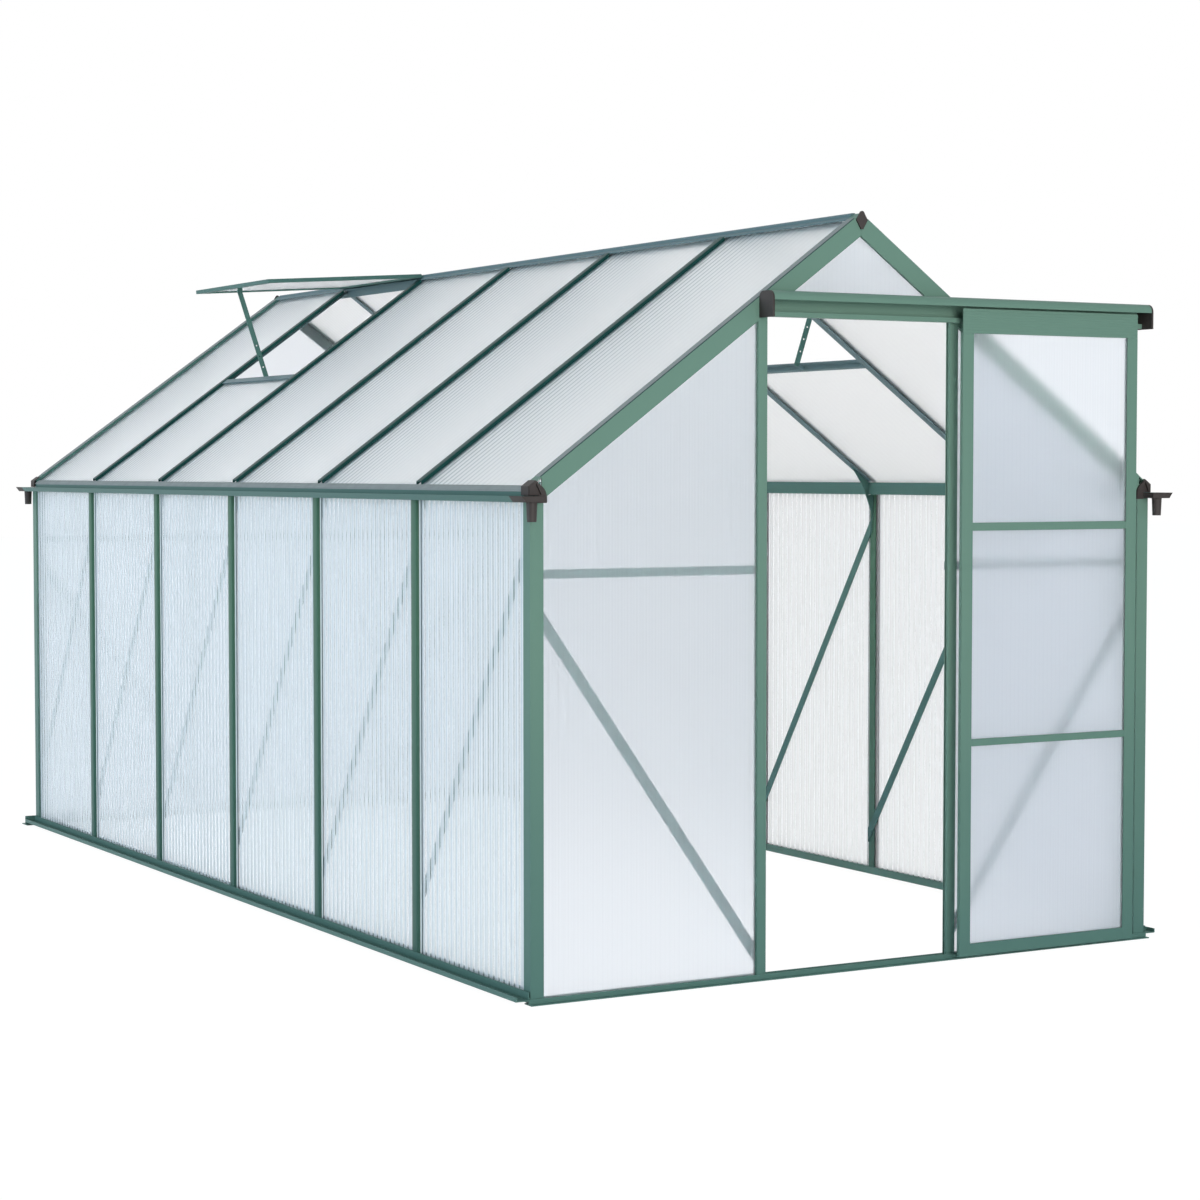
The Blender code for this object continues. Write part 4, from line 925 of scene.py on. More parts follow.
@dataclass
class SideWall:
    """Glazing bars, panes, strip braces, knee plates, nuts, and pale and dark strips beside the bars of one
    long side.

    A strip beside the bars is given by its near and far edge from a bar's cap, and its rise off the pane.
    """

    side: Side
    shop: Workshop
    brace_width: float = 0.024
    brace_thickness: float = 0.003
    brace_top: float = 1.070
    brace_foot: float = 0.128
    brace_start: float = 0.0333
    brace_past_bar: float = 0.013
    brace_into_post: float = 0.0005
    knee_foot: float = 1.085
    knee_reach: float = 0.070
    knee_thickness: float = 0.003
    knee_steps: int = 14
    pale_seal: Triple = (-0.003, 0.0105, 0.0006)
    dark_seal: Triple = (0.0105, 0.0140, 0.0010)

    def at_bar(self, a: float, depth: float, z: float) -> Vector:
        """A point on the first bar, by its place across it, its depth under the cap and its height."""
        return PLAN.beside(self.side)(depth - PLAN.bar_proud, z, PLAN.bay + a)

    def panes(self) -> Shape:
        """All six panes.

        Returns:
            Their shape.
        """
        shape = Shape()
        middle = PLAN.pane_face + PLAN.pane / 2
        place = lambda y, z, d: PLAN.beside(self.side)(middle + d, z, y)
        for number in range(PLAN.bays):
            span = PLAN.pane_span(number)
            SIDE_FLUTES.add_pane(shape, span, lambda a: PLAN.side_foot, lambda a: PLAN.top, place)
        return shape

    def brace(self, start: float, end: float) -> Shape:
        """One strip brace.

        Args:
            start: The building y of its head.
            end: The building y of its foot.

        Returns:
            Its shape.
        """
        outline = strip_outline((start, self.brace_top), (end, self.brace_foot), self.brace_width)
        face = PLAN.bar_face + PLAN.gap
        place = lambda y, z, reach: PLAN.beside(self.side)(reach, z, y)
        return Shape().sweep(outline, place, face, face + self.brace_thickness)

    def knee(self) -> Shape:
        """The first knee plate, its inner edge a hollow curve.

        Returns:
            Its shape.
        """
        foot = PLAN.bar_face - PLAN.wall / 2
        beam = PLAN.eave_back + PLAN.gap
        tip = beam + self.knee_reach
        under = (PLAN.bar_depth + PLAN.gap) / math.cos(PLAN.pitch)
        line = lambda reach: PLAN.eave + PLAN.slope * reach - under
        start = Vector((tip, line(tip)))
        hollow = Vector((beam + self.knee_reach / 5, line(beam) - PLAN.wall))
        end = Vector((PLAN.bar_face + PLAN.bite, self.knee_foot))
        head = PLAN.top - PLAN.bite
        outline = [(foot, self.knee_foot), (foot, head), (beam, head), (beam, line(beam))]
        for i in range(self.knee_steps + 1):
            share = i / self.knee_steps
            point = start.lerp(hollow, share).lerp(hollow.lerp(end, share), share)
            outline.append((point.x, point.y))
        place = lambda reach, z, a: PLAN.beside(self.side)(reach, z, PLAN.bay + a)
        return Shape().sweep(outline, place, -self.knee_thickness / 2, self.knee_thickness / 2)

    def nut(self) -> Shape:
        """The hexagon nut and bolt end at the first bar's brace foot.

        Returns:
            Its shape.
        """
        height = self.brace_foot + self.brace_width / 2
        start = PLAN.beside(self.side)(PLAN.bar_face + self.brace_thickness, height, PLAN.bay)
        return Shape().turned(NUT, start, Vector((-self.side.value, 0.0, 0.0)), 6)

    def seals(self, near: float, far: float, rise: float) -> Shape:
        """A strip on the panes at both sides of the first bar.

        Args:
            near: Its near edge's distance from the bar's cap.
            far: Its far edge's distance from the cap.
            rise: How far it stands off the pane.

        Returns:
            Its shape.
        """
        shape = Shape()
        edge, face = PLAN.bar_width / 2, PLAN.pane_recess
        for sign in (-1, 1):
            a, b = sign * (edge + near), sign * (edge + far)
            strip = [(a, face), (b, face), (b, face - rise), (a, face - rise)]
            shape.sweep(strip, self.at_bar, PLAN.side_foot + PLAN.bite, PLAN.top - PLAN.bite)
        return shape

    def build(self) -> None:
        """Make the wall's pieces."""
        name, make, palette = self.side.label, self.shop.piece, self.shop.palette
        inner = PLAN.bays - 1
        nodes = [f"wall_bar_{name}_{i}" for i in range(1, PLAN.bays)]
        bar = Shape().sweep(bar_outline(PLAN.bar_width), self.at_bar, PLAN.side_foot, PLAN.top)
        make(f"glazing_bars_{name}", bar, palette.shaded_side_green, stands_for=nodes, count=inner)
        make(f"knee_plates_{name}", self.knee(), palette.shaded_teal, count=inner)
        beside_web = PLAN.bar_web / 2 + PLAN.bite
        first = self.brace(self.brace_start, PLAN.bay + self.brace_past_bar)
        make(f"brace_first_{name}", first, palette.shaded_teal)
        middle = self.brace(PLAN.bay + beside_web, 2 * PLAN.bay + self.brace_past_bar)
        make(f"braces_{name}", middle, palette.shaded_teal, count=inner - 1)
        last = self.brace(inner * PLAN.bay + beside_web, PLAN.length - PLAN.wall + self.brace_into_post)
        make(f"brace_last_{name}", last, palette.shaded_teal)
        make(f"brace_nuts_{name}", self.nut(), palette.shaded_teal, count=inner)
        make(f"pale_seals_{name}", self.seals(*self.pale_seal), palette.pale_seal, count=inner)
        make(f"dark_seals_{name}", self.seals(*self.dark_seal), palette.dark_seal, count=inner)
        make(f"side_panes_{name}", self.panes(), palette.side_sheet)


@dataclass
class RearPost:
    """A rear corner post, without the pane and brace that its CAD node carries."""

    side: Side
    shop: Workshop
    depth: float = 0.033

    def build(self) -> None:
        """Make the post."""
        width, depth, wall = PLAN.post_width, self.depth, PLAN.wall
        lip = PLAN.pane_face - PLAN.gap
        outline = [(0.0, 0.0), (width, 0.0), (width, depth), (width - wall, depth), (width - wall, wall)]
        outline += [(wall, wall), (wall, depth - wall), (lip, depth - wall), (lip, depth), (0.0, depth)]
        place = lambda a, b, z: Vector((PLAN.inward(self.side, a), PLAN.gable_y(End.REAR, b), z))
        shape = Shape().sweep(outline, place, PLAN.foot, PLAN.top)
        node = f"corner_post_rear_{self.side.label}"
        self.shop.piece(f"rear_post_{self.side.label}", shape, self.shop.palette.green, stands_for=[node])


@dataclass
class RoofSlope:
    """Roof bars, panes, the vent's sill, and the painted sheen and painted shade strips along the eave of one
    slope.
    """

    side: Side
    shop: Workshop
    ridge_half: float = 0.018
    sill_below: float = 0.036
    sill_width: float = 0.022
    sill_depth: float = 0.017
    sill_raise: float = 0.0005
    lug_depth: float = 0.026
    lug_length: float = 0.036
    strip_inset: float = 0.034
    strip_low: float = 0.0240
    strip_skin: float = 0.0005
    shade_low: float = 0.0030
    shade_high: float = 0.0238
    shade_skin: float = 0.0003

    @property
    def sill_start(self) -> float:
        """The way up the slope to the vent's sill."""
        return PLAN.half / math.cos(PLAN.pitch) - PLAN.leaf_length - self.sill_below

    def at_bar(self, a: float, depth: float, along: float) -> Vector:
        """A point on the first bar, by its place across it, its depth under the cap and its way up."""
        return PLAN.roof_point(self.side, along, depth, PLAN.bay + a)

    def up_slope(self, along: float, depth: float, y: float) -> Vector:
        """A point by its way up the slope, its depth under the caps and its building y."""
        return PLAN.roof_point(self.side, along, depth, y)

    def cap(self) -> Shape:
        """The first roof bar's cap, which runs to the ridge's flange.

        Returns:
            Its shape.
        """
        section = bar_outline(PLAN.bar_width)
        outline = [p for p in section if p[1] <= PLAN.pane_recess and abs(p[0]) > PLAN.bar_web / 2]
        top = PLAN.plumb(PLAN.half - self.ridge_half - PLAN.gap)
        return Shape().sweep(outline, self.at_bar, PLAN.plumb(PLAN.eave_lip + PLAN.gap), top)

    def stem(self) -> Shape:
        """The first roof bar's coped stem, which runs to the ridge's web.

        Returns:
            Its shape.
        """
        web, half = PLAN.bar_web / 2, PLAN.bar_width / 2
        flat = PLAN.bar_depth - PLAN.wall
        stem = [(web, PLAN.wall - PLAN.bite), (web, flat), (half, flat), (half, PLAN.bar_depth)]
        stem += [(-a, d) for a, d in reversed(stem)]
        coped = PLAN.plumb(PLAN.half - self.ridge_half - PLAN.bar_proud)
        inner = PLAN.plumb(PLAN.half - web - PLAN.gap)
        top = lambda a, d: coped(a, d) if d < PLAN.wall else inner(a, d)
        return Shape().sweep(stem, self.at_bar, PLAN.plumb(PLAN.eave_back + PLAN.gap), top)

    def panes(self) -> Shape:
        """All six panes, the one under the vent cut short.

        Returns:
            Their shape.
        """
        shape = Shape()
        middle = PLAN.pane_recess + PLAN.pane / 2
        place = lambda y, t, d: self.up_slope(t, middle + d, y)
        foot = PLAN.plumb(PLAN.wall + PLAN.gap)(0.0, middle - PLAN.pane / 2)
        full = PLAN.plumb(PLAN.half - PLAN.bar_web / 2 - PLAN.gap)(0.0, middle)
        for number in range(PLAN.bays):
            short = number + 1 == self.side.vent_bay
            head = self.sill_start + PLAN.pane if short else full
            span = PLAN.pane_span(number)
            SIDE_FLUTES.add_pane(shape, span, lambda a: foot, lambda a, head=head: head, place)
        return shape

    def sill(self) -> Shape:
        """The Z-section sill bar at the vent opening's foot, with the lug for the stay.

        Returns:
            Its shape.
        """
        wall, depth = PLAN.wall, self.sill_depth
        back, top = self.sill_start - wall, wall - self.sill_raise
        front, web = back + self.sill_width, self.sill_start + self.sill_width / 4
        outline = [(back, top), (front, top), (front, top + wall), (web, top + wall), (web, depth)]
        outline += [(back, depth), (back, depth - wall), (web - wall, depth - wall)]
        outline += [(web - wall, top + wall), (back, top + wall)]
        bay_end = PLAN.bay * self.side.vent_bay
        inset = PLAN.bar_width / 2 + PLAN.gap
        shape = Shape()
        shape.sweep(outline, self.up_slope, bay_end - PLAN.bay + inset, bay_end - inset)
        face = bay_end - PLAN.bay / 2 + PLAN.stay_thickness / 2 + PLAN.gap
        near, far = web - PLAN.bite, web + self.lug_length - PLAN.bite
        lug = [(near, PLAN.lug_reach), (far, PLAN.lug_reach), (far, self.lug_depth), (near, depth - PLAN.bite)]
        shape.sweep(lug, self.up_slope, face, face + wall)
        return shape

    def along_eave(self, outline: Sequence[Point2]) -> Shape:
        """A strip from gable to gable, by its outline as (reach inside the wall plane, height)."""
        return Shape().sweep(
            outline, PLAN.beside(self.side), self.strip_inset, PLAN.length - self.strip_inset
        )

    def eave_strip(self) -> Shape:
        """A thin grey strip round the lip that holds the panes' feet: a painted reflection of the sky on the
        lip's up-facing paint.

        Returns:
            Its shape.
        """
        drop = (PLAN.pane_recess - PLAN.gap - PLAN.wall) / math.cos(PLAN.pitch)
        line = lambda reach: PLAN.eave + PLAN.slope * reach - drop
        low, skin, lip = PLAN.gutter_floor + self.strip_low, self.strip_skin, PLAN.eave_lip
        outline = [(-skin, low), (0.0, low), (0.0, line(0.0)), (lip, line(lip))]
        return self.along_eave(outline + [(lip, line(lip) + skin), (-skin, line(-skin) + skin)])

    def eave_shade(self) -> Shape:
        """The teal strip between the grey one and the gutter: painted shade for the gutter's shadowed inside.
        """
        low, high = PLAN.gutter_floor + self.shade_low, PLAN.gutter_floor + self.shade_high
        return self.along_eave([(-self.shade_skin, low), (0.0, low), (0.0, high), (-self.shade_skin, high)])

    def build(self) -> None:
        """Make the slope's pieces."""
        name, make, palette = self.side.label, self.shop.piece, self.shop.palette
        nodes = [f"roof_bar_{name}_{i}" for i in range(1, PLAN.bays)]
        make(f"roof_caps_{name}", self.cap(), palette.shaded_deep_green, count=len(nodes))
        make(f"roof_stems_{name}", self.stem(), palette.sky_lit_grey, stands_for=nodes, count=len(nodes))
        make(f"vent_sill_{name}", self.sill(), palette.sky_lit_grey)
        make(f"eave_strip_{name}", self.eave_strip(), palette.painted_sheen)
        make(f"eave_shade_{name}", self.eave_shade(), palette.shaded_teal)
        make(f"roof_panes_{name}", self.panes(), palette.roof_sheet)


@dataclass
class Gable:
    """Jambs or studs, ties, braces, panes and nuts of a gable, and the rear gable's rafters.

    A strip on a rafter's top is given by its near and far edge, as shares of the rafter's width, and its rise;
    the grey sheen strip is a painted reflection of the sky, the dark edge strip painted shade.
    """

    end: End
    shop: Workshop
    strip: float = 0.003
    tie_bottom: float = 0.983
    tie_height: float = 0.021
    brace_width: float = 0.027
    brace_top: float = 0.895
    brace_foot: float = 0.042
    nut_raise: float = 0.006
    track_bottom: float = 1.600
    cover_strip: Triple = (0.20, 0.97, 0.0010)
    cover_edge: Triple = (0.02, 0.20, 0.0008)
    rafter_strip_foot: float = 0.030
    rafter_strip_head: float = 0.020

    def behind(self, x: float, z: float, depth: float) -> Vector:
        """A point by its x, its height and its depth behind the gable's face."""
        return Vector((x, PLAN.gable_y(self.end, depth), z))

    def on_rafter(self, side: Side) -> Place:
        """Places (across a rafter from the gable's face, depth under its top, way up the slope)."""
        return lambda a, d, t: PLAN.roof_point(side, t, d, PLAN.gable_y(self.end, a) + PLAN.middle)

    def member(self, side: Side) -> Shape:
        """A jamb or stud, cut to the rafter's slope.

        Args:
            side: The side it stands on.

        Returns:
            Its shape.
        """
        x = side.value * PLAN.jamb
        place = lambda a, d, z: self.behind(x + a, z, d)
        top = lambda a, d: PLAN.roof_z(x + a, PLAN.rafter_depth) - PLAN.gap
        return Shape().sweep(bar_outline(PLAN.jamb_width), place, PLAN.foot, top)

    def ties(self) -> Shape:
        """The level ties and slanting braces on the gable's inside.

        Returns:
            Their shape.
        """
        shape = Shape()
        face = PLAN.bar_depth + PLAN.gap
        outer = PLAN.half - PLAN.post_width - PLAN.gap
        inner = PLAN.jamb - PLAN.jamb_width / 2 + PLAN.bite
        spans = [(outer, inner), (-outer, -inner)] if self.end is End.FRONT else [(outer, -outer)]
        low, high = self.tie_bottom, self.tie_bottom + self.tie_height
        strips = [[(start, low), (stop, low), (stop, high), (start, high)] for start, stop in spans]
        for sign in (-1, 1):
            start = (sign * outer, self.brace_top)
            stop = (sign * (PLAN.jamb - PLAN.jamb_width / 4), self.brace_foot)
            strips.append(strip_outline(start, stop, self.brace_width))
        for outline in strips:
            shape.sweep(outline, self.behind, face, face + self.strip)
        return shape

    def nuts(self) -> Shape:
        """The hexagon nuts of the ties and braces.

        Returns:
            Their shape.
        """
        shape = Shape()
        inward = Vector((0.0, -1.0 if self.end is End.REAR else 1.0, 0.0))
        for sign in (-1, 1):
            for height in (self.tie_bottom + self.tie_height / 2, self.brace_foot + self.nut_raise):
                center = self.behind(sign * PLAN.jamb, height, PLAN.bar_depth + PLAN.gap + self.strip)
                shape.turned(NUT, center, inward, 6)
        return shape

    def panes(self) -> Shape:
        """The two side panes, and the middle one to the ridge.

        Returns:
            Their shape.
        """
        shape = Shape()
        middle = PLAN.pane_recess + PLAN.pane / 2
        place = lambda x, z, d: self.behind(x, z, middle + d)
        head = lambda x: PLAN.roof_z(x, PLAN.pane_recess + PLAN.wall + PLAN.gap)
        foot = lambda x: PLAN.foot
        over_door = lambda x: self.track_bottom + PLAN.wall + PLAN.wall / 2
        web = PLAN.bar_web / 2 + PLAN.gap
        outer = PLAN.half - PLAN.post_width - PLAN.gap
        edge = PLAN.jamb - web
        GABLE_FLUTES.add_pane(shape, (-outer, -PLAN.jamb - web), foot, head, place)
        GABLE_FLUTES.add_pane(shape, (PLAN.jamb + web, outer), foot, head, place)
        start = over_door if self.end is End.FRONT else foot
        GABLE_FLUTES.add_pane(shape, (-edge, edge), start, head, place, breaks=(0.0,))
        return shape

    def rafter(self, side: Side) -> Shape:
        """A rafter: a top flange and a face flange, each with a lip.

        Args:
            side: The slope it lies on.

        Returns:
            Its shape.
        """
        width, depth, wall = PLAN.rafter_width, PLAN.rafter_depth, PLAN.wall
        lip, into = PLAN.pane_recess - PLAN.gap, wall - PLAN.bite
        top = [(0.0, 0.0), (width, 0.0), (width, lip), (width - wall, lip), (width - wall, wall), (0.0, wall)]
        face = [(0.0, into), (wall, into), (wall, depth - wall), (lip, depth - wall)]
        face += [(lip, depth), (0.0, depth)]
        meet = PLAN.plumb(PLAN.half - PLAN.gap / 2)
        shape = Shape()
        shape.sweep(top, self.on_rafter(side), PLAN.plumb(PLAN.bar_proud), meet)
        shape.sweep(face, self.on_rafter(side), PLAN.plumb(PLAN.eave_back + PLAN.gap), meet)
        return shape

    def cover(self, side: Side, near: float, far: float, rise: float) -> Shape:
        """A thin strip along a rafter's top, for the painted sheen and the painted shade edge.

        Args:
            side: The slope.
            near: Its near edge, as a share of the rafter's width.
            far: Its far edge.
            rise: How far it stands off the rafter.

        Returns:
            Its shape.
        """
        a, b = PLAN.rafter_width * near, PLAN.rafter_width * far
        strip = [(a, 0.0), (b, 0.0), (b, -rise), (a, -rise)]
        head = PLAN.plumb(PLAN.half - self.rafter_strip_head)
        return Shape().sweep(strip, self.on_rafter(side), PLAN.plumb(self.rafter_strip_foot), head)

    def build(self) -> None:
        """Make the gable's pieces."""
        label, make, palette = self.end.label, self.shop.piece, self.shop.palette
        kind = "door_jamb" if self.end is End.FRONT else "rear_stud"
        for side in Side:
            node = f"{kind}_{side.label}"
            make(f"{node}_bar", self.member(side), palette.green, stands_for=[node])
            if self.end is End.REAR:
                node = f"rafter_rear_{side.label}"
                make(f"{node}_bar", self.rafter(side), palette.shaded_teal, stands_for=[node])
            # Painted reflection of the sky on each rafter's top, with a strip of painted shade at its edge.
            cover, edge = self.cover(side, *self.cover_strip), self.cover(side, *self.cover_edge)
            make(f"{label}_cover_strip_{side.label}", cover, palette.painted_sheen)
            make(f"{label}_cover_edge_{side.label}", edge, palette.shaded_deep_green)
        make(f"{label}_ties", self.ties(), palette.shaded_teal)
        make(f"{label}_nuts", self.nuts(), palette.green)
        make(f"{label}_panes", self.panes(), palette.gable_sheet)


def before(forward: float, z: float, x: float) -> Vector:
    """A point by its way forward of the front gable's face, its height and its x."""
    return Vector((x, PLAN.y(-forward), z))


@dataclass
class SlidingDoor:
    """The door leaf's rails and panes; its stiles, hanger and wheels keep their CAD shape."""

    shop: Workshop
    start: float = 0.0095
    lap: float = 0.004
    front: float = 0.050
    depth: float = 0.011
    skin: float = 0.002
    ease: float = 0.0004
    stile: float = 0.033
    hanger: float = 1.573
    rails: tuple[tuple[str, float, float], ...] = (
        ("door_rail_bottom", 0.013, 0.031),
        ("door_rail_lower", 0.542, 0.018),
        ("door_rail_upper", 1.082, 0.020),
    )

    @property
    def left(self) -> float:
        """The door's left edge, open."""
        return PLAN.jamb - self.start

    @property
    def right(self) -> float:
        """The door's right edge, open."""
        return self.left + 2 * (PLAN.jamb - self.lap)

    def rail(self, low: float, height: float) -> Shape:
        """An H-section rail between the stiles.

        Args:
            low: The height of its underside.
            height: Its own height.

        Returns:
            Its shape.
        """
        back, near, ease = self.front - self.depth, self.front, self.ease
        inner, outer, high = back + self.skin, near - self.skin, low + height
        under, over = low + height / 2 - self.skin / 2, low + height / 2 + self.skin / 2
        outline = [(back, low), (inner, low), (inner, under), (outer, under), (outer, low)]
        outline += [(near - ease, low), (near, low + ease), (near, high - ease), (near - ease, high)]
        outline += [(outer, high), (outer, over), (inner, over), (inner, high), (back, high)]
        reach = self.stile + PLAN.gap
        return Shape().sweep(outline, before, self.left + reach, self.right - reach)

    def panes(self) -> Shape:
        """The three panes.

        Returns:
            Their shape.
        """
        shape = Shape()
        middle = self.front - self.depth / 2
        place = lambda x, z, d: before(middle - d, z, x)
        edge = self.skin + 2 * PLAN.gap
        span = (self.left + edge, self.right - edge)
        tops = [low + height / 2 - self.skin / 2 for _, low, height in self.rails[1:]]
        tops.append(self.hanger - PLAN.gap)
        for (_, low, height), top in zip(self.rails, tops):
            foot = low + height / 2 + self.skin / 2
            GABLE_FLUTES.add_pane(shape, span, lambda x, foot=foot: foot, lambda x, top=top: top, place)
        return shape

    def build(self) -> None:
        """Make the door's pieces."""
        palette = self.shop.palette
        for node, low, height in self.rails:
            self.shop.piece(f"{node}_bar", self.rail(low, height), palette.green, "door", [node])
        self.shop.piece("door_panes", self.panes(), palette.gable_sheet, "door")


@dataclass
class Track:
    """The hooded door track with its rail and the ledge over the doorway."""

    shop: Workshop
    past_jamb: float = 0.0055
    past_door: float = 0.038
    top: float = 1.661
    height: float = 0.061
    skin: float = 0.0022
    front_round: float = 0.020
    front_steps: int = 14
    back_round: float = 0.015
    back_steps: int = 10
    rail: float = 0.022
    rail_height: float = 0.012
    lip: float = 0.0025
    ease: float = 0.0005

    def outline(self) -> list[Point2]:
        """The track's section.

        Returns:
            The outline, as (forward, height).
        """
        back, front, bottom = PLAN.gap, PLAN.track_reach, self.top - self.height
        near = (front - self.front_round, self.top - self.front_round)
        far = (back + self.back_round, self.top - self.back_round)
        lip, floor = near[1] - self.lip, bottom + self.skin
        head, rail, ease = bottom + self.rail_height, self.rail, self.ease
        points = [(rail, bottom), (back, bottom)]
        points += arc(far, self.back_round, 180, 90, self.back_steps)
        points += arc(near, self.front_round, 90, 0, self.front_steps)
        points += [(front, lip), (front - self.skin, lip)]
        points += arc(near, self.front_round - self.skin, 0, 90, self.front_steps)
        points += arc(far, self.back_round - self.skin, 90, 180, self.back_steps)
        points += [(back + self.skin, floor), (rail - PLAN.wall, floor), (rail - PLAN.wall, head - ease)]
        return points + [(rail - PLAN.wall + ease, head), (rail - ease, head), (rail, head - ease)]

    def build(self) -> None:
        """Make the track."""
        shape = Shape()
        end = SlidingDoor(self.shop).right + self.past_door
        shape.sweep(self.outline(), before, -PLAN.jamb - self.past_jamb, end)
        half = PLAN.jamb - PLAN.jamb_width / 2 - PLAN.gap
        low = self.top - self.height + PLAN.wall
        near, far = -PLAN.gap - self.skin / 2, PLAN.pane_recess + PLAN.pane
        ledge = [(near, low), (far, low), (far, low + PLAN.wall), (near, low + PLAN.wall)]
        shape.sweep(ledge, lambda d, z, x: before(-d, z, x), -half, half)
        self.shop.piece("hooded_track", shape, self.shop.palette.green, stands_for=["door_track"])


@dataclass
class RoofVent:
    """An open roof vent's leaf: its frame, its pane and the lug that holds the stay."""

    side: Side
    shop: Workshop
    from_ridge: float = 0.0127
    rise: float = 0.0047
    bead: float = 0.0043
    bead_inset: float = 0.0005
    bead_sides: int = 20
    overlap: float = 0.004
    rail: float = 0.022
    pane_lap: float = 0.004
    under: float = 0.0041
    over: float = 0.0079
    opened: float = math.radians(32.1)
    pivot: float = 0.505
    pivot_below: float = 0.014

    def point(self, along: float, above: float, y: float) -> Vector:
        """A point on the open leaf.

        Args:
            along: The point's way from the hinge.
            above: Its height over the leaf's hinge line.
            y: Its building y.

        Returns:
            The point in the frame.
        """
        droop = PLAN.pitch - self.opened
        hinge = PLAN.half - self.from_ridge
        height = PLAN.eave + PLAN.slope * hinge + self.rise / math.cos(PLAN.pitch)
        reach = hinge - along * math.cos(droop) - above * math.sin(droop)
        z = height - along * math.sin(droop) + above * math.cos(droop)
        return PLAN.beside(self.side)(reach, z, y)

    def leaf(self, low: float, high: float) -> Shape:
        """The leaf's frame, and the lug that holds the stay.

        Args:
            low: The building y of its near edge.
            high: The building y of its far edge.

        Returns:
            Its shape.
        """
        shape = Shape()
        rail, length, reach, below = self.rail, PLAN.leaf_length, PLAN.lug_reach, -self.pivot_below
        inset = rail + PLAN.gap
        for first, last, start, end in (
            (0.0, length, low, low + rail),
            (0.0, length, high - rail, high),
            (0.0, rail, low + inset, high - inset),
            (length - rail, length, low + inset, high - inset),
        ):
            band = [(first, -self.under), (last, -self.under), (last, self.over), (first, self.over)]
            shape.sweep(band, self.point, start, end)
        start, end = (self.point(0.0, 0.0, y) for y in (low + self.bead_inset, high - self.bead_inset))
        axis = end - start
        shape.turned([(0.0, self.bead), (axis.length, self.bead)], start, axis, self.bead_sides)
        middle = (low + high) / 2 - PLAN.stay_thickness / 2 - PLAN.gap
        lug = [(self.pivot - reach, PLAN.bite), (self.pivot + reach, PLAN.bite), (self.pivot + reach, below)]
        lug += [(self.pivot, below - reach), (self.pivot - reach, below)]
        shape.sweep(lug, self.point, middle - PLAN.wall, middle)
        return shape

    def pane(self, low: float, high: float) -> Shape:
        """The leaf's pane, its flutes running down the slope.

        Args:
            low: The building y of the leaf's near edge.
            high: The building y of its far edge.

        Returns:
            Its shape.
        """
        shape = Shape()
        edge = self.rail - self.pane_lap
        place = lambda y, s, d: self.point(s, PLAN.pane / 2 + d, y)
        head = lambda y: PLAN.leaf_length - self.rail + self.pane_lap
        SIDE_FLUTES.add_pane(shape, (low + edge, high - edge), lambda y: edge, head, place)
        return shape

    def build(self) -> None:
        """Make the leaf's pieces."""
        name, palette = self.side.label, self.shop.palette
        middle = PLAN.bay * self.side.vent_bay - PLAN.bay / 2
        half = PLAN.bay / 2 + self.overlap
        edges = (middle - half, middle + half)
        body, nodes = f"vent_{name}", [f"vent_leaf_{name}"]
        self.shop.piece(f"vent_frame_{name}", self.leaf(*edges), palette.shaded_teal, body, nodes)
        self.shop.piece(f"vent_pane_{name}", self.pane(*edges), palette.roof_sheet, body)


@dataclass(frozen=True)
class SoftLamp:
    """A square soft light that shines at the building's middle."""

    name: str
    spot: Triple
    power: float
    color: Triple
    size: float = 5.0
    aim: Triple = (0.0, 0.0, 0.9)

    def build(self) -> None:
        """Hang the light."""
        data = bpy.data.lights.new(self.name, "AREA")
        data.shape = "SQUARE"
        data.size = self.size
        data.energy = self.power
        data.color = self.color
        lamp = bpy.data.objects.new(self.name, data)
        lamp.location = self.spot
        lamp.rotation_mode = "QUATERNION"
        lamp.rotation_quaternion = (Vector(self.aim) - Vector(self.spot)).to_track_quat("-Z", "Y")
        bpy.context.scene.collection.objects.link(lamp)


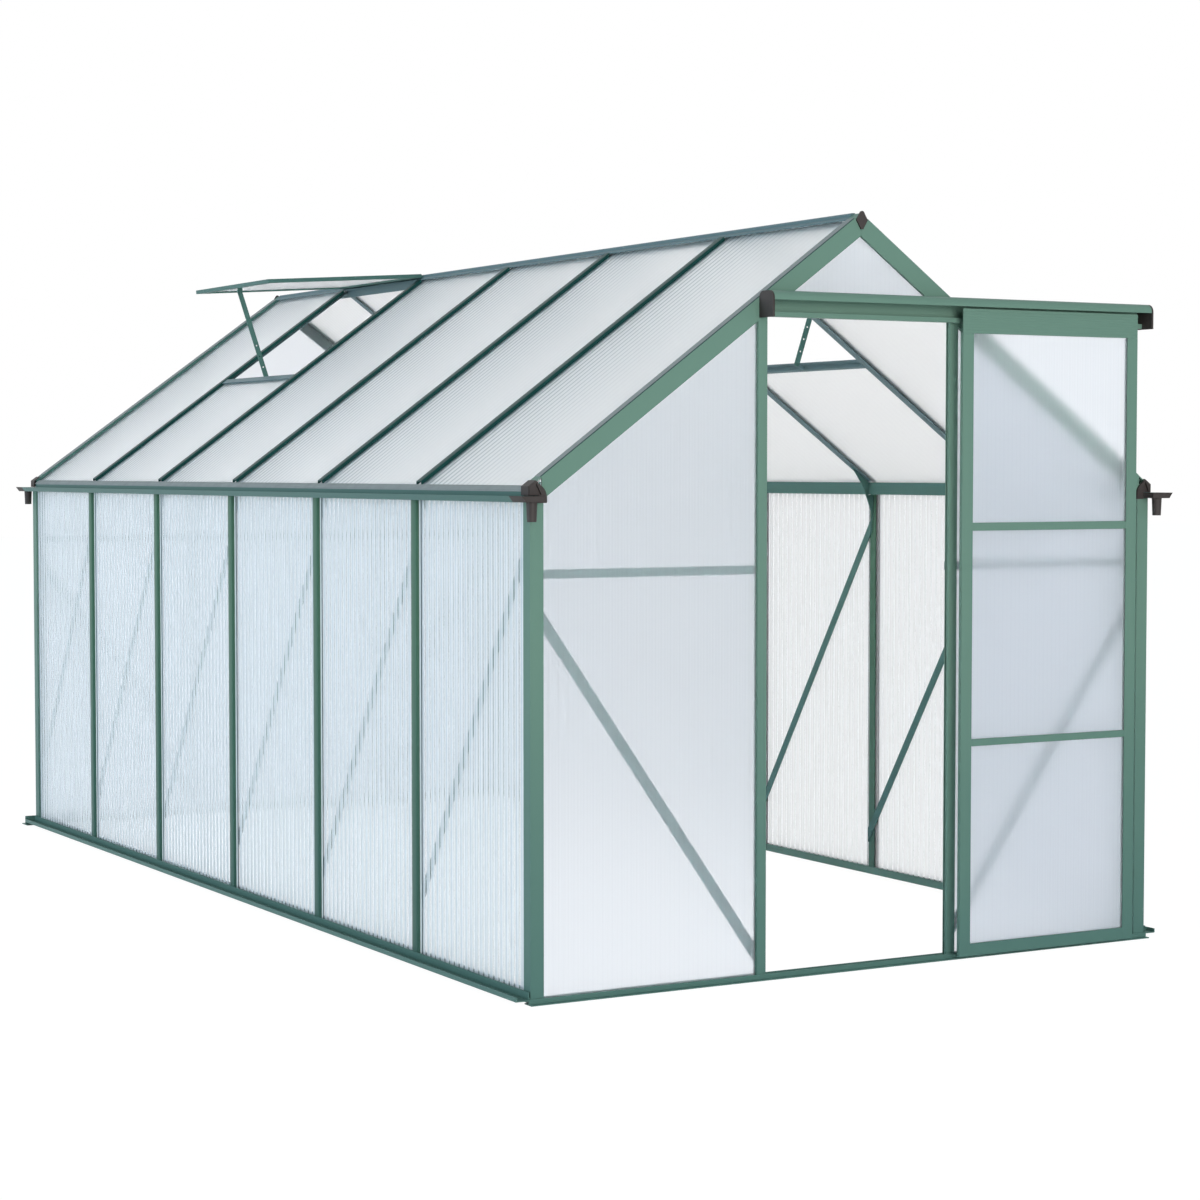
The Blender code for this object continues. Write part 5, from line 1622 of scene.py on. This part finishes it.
@dataclass
class Studio:
    """The camera, lights, floor and backdrop."""

    eye: Triple = (-3.8189, PLAN.y(-5.4413), 1.2337)
    lens: float = 80.86
    down: float = math.radians(2.763)
    turn: float = math.radians(29.557)
    horizon: Triple = (0.60, 0.66, 0.74)
    horizon_stop: float = 0.02
    zenith: Triple = (0.26, 0.38, 0.44)
    zenith_stop: float = 0.42
    floor_reach: float = 40.0
    floor_top: float = -0.0002
    floor_underside: float = -0.02
    floor_tone: float = 0.86
    floor_glow: float = 1.06
    glow_share: float = 0.92
    lamps: tuple[SoftLamp, ...] = (
        SoftLamp("key", (-1.5, -11.0, 1.6), 695.0, (1.0, 0.985, 0.97)),
        SoftLamp("fill", (-9.0, 1.5, 1.4), 470.0, (0.66, 0.84, 1.0)),
    )

    def camera(self) -> None:
        """Place the camera."""
        data = bpy.data.cameras.new("camera")
        data.lens = self.lens
        data.sensor_width = 36.0
        data.clip_end = 200.0
        camera = bpy.data.objects.new("camera", data)
        camera.location = self.eye
        camera.rotation_euler = (math.pi / 2 - self.down, 0.0, -self.turn)
        bpy.context.scene.collection.objects.link(camera)
        bpy.context.scene.camera = camera

    def seen(self, tree: Tree) -> Socket:
        """A factor of 1 for rays that show the background.

        Args:
            tree: The tree it goes to.

        Returns:
            The factor: 1 for camera, glossy and transmission rays.
        """
        path = add(tree, "LightPath", {}).outputs
        shiny = maths(tree, "MAXIMUM", path["Is Camera Ray"], path["Is Glossy Ray"])
        return maths(tree, "MAXIMUM", shiny, path["Is Transmission Ray"])

    def world(self) -> None:
        """White to the eye, a plain soft light to the object."""
        world = bpy.data.worlds.new("studio")
        world.use_nodes = True
        tree = world.node_tree
        place = add(tree, "TexCoord", {}).outputs["Generated"]
        height = add(tree, "SeparateXYZ", {0: place}).outputs["Z"]
        sky = ramp(tree, height, (self.horizon_stop, self.horizon), (self.zenith_stop, self.zenith))
        soft = feed(tree.nodes["Background"], {"Color": sky, "Strength": 1.0})
        white = add(tree, "Background", {"Color": (1.0, 1.0, 1.0, 1.0), "Strength": 1.0})
        mix = add(tree, "MixShader", {0: self.seen(tree), 1: soft.outputs[0], 2: white.outputs[0]})
        feed(tree.nodes["World Output"], {"Surface": mix.outputs[0]})
        bpy.context.scene.world = world

    def floor(self) -> None:
        """A pale floor that shows white and keeps a soft shadow."""
        reach = self.floor_reach
        corners = [(-reach, -reach), (reach, -reach), (reach, reach), (-reach, reach)]
        slab = Shape().sweep(corners, lambda x, y, z: Vector((x, y, z)), self.floor_underside, self.floor_top)
        floor = bpy.data.objects.new("floor", slab.done("floor"))
        bpy.context.scene.collection.objects.link(floor)
        material, shader, _ = new_material("floor")
        tree, tone = material.node_tree, self.floor_tone
        feed(shader, {"Base Color": (tone, tone, tone, 1.0), "Roughness": 0.9, "Specular IOR Level": 0.0})
        glow = add(tree, "Emission", {"Strength": self.floor_glow})
        share = maths(tree, "MULTIPLY", self.seen(tree), self.glow_share)
        mix = add(tree, "MixShader", {0: share, 1: shader.outputs[0], 2: glow.outputs[0]})
        feed(tree.nodes["Material Output"], {"Surface": mix.outputs[0]})
        floor.data.materials.append(material)

    def build(self) -> None:
        """Set up the studio."""
        self.camera()
        self.world()
        self.floor()
        for lamp in self.lamps:
            lamp.build()
        bpy.context.scene.view_settings.view_transform = "Standard"


def main() -> None:
    """Dress the greenhouse and set up the studio."""
    logging.basicConfig(level=logging.INFO, format="%(name)s: %(message)s")
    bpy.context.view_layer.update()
    palette = Palette()
    shop = Workshop(palette)
    for starts, finish in (
        ("", palette.green),
        ("ridge", palette.sky_lit_grey),
        (("gutter_left", "gutter_right", "vent_stay"), palette.shaded_teal),
        (("gutter_cap", "ridge_cap", "track_cap", "door_wheel"), palette.dark),
    ):
        shop.refinish(starts, finish)
    for side in Side:
        SideWall(side, shop).build()
        RearPost(side, shop).build()
        RoofSlope(side, shop).build()
        RoofVent(side, shop).build()
    for end in End:
        Gable(end, shop).build()
    Track(shop).build()
    SlidingDoor(shop).build()
    Studio().build()


if __name__ == "__main__":
    main()
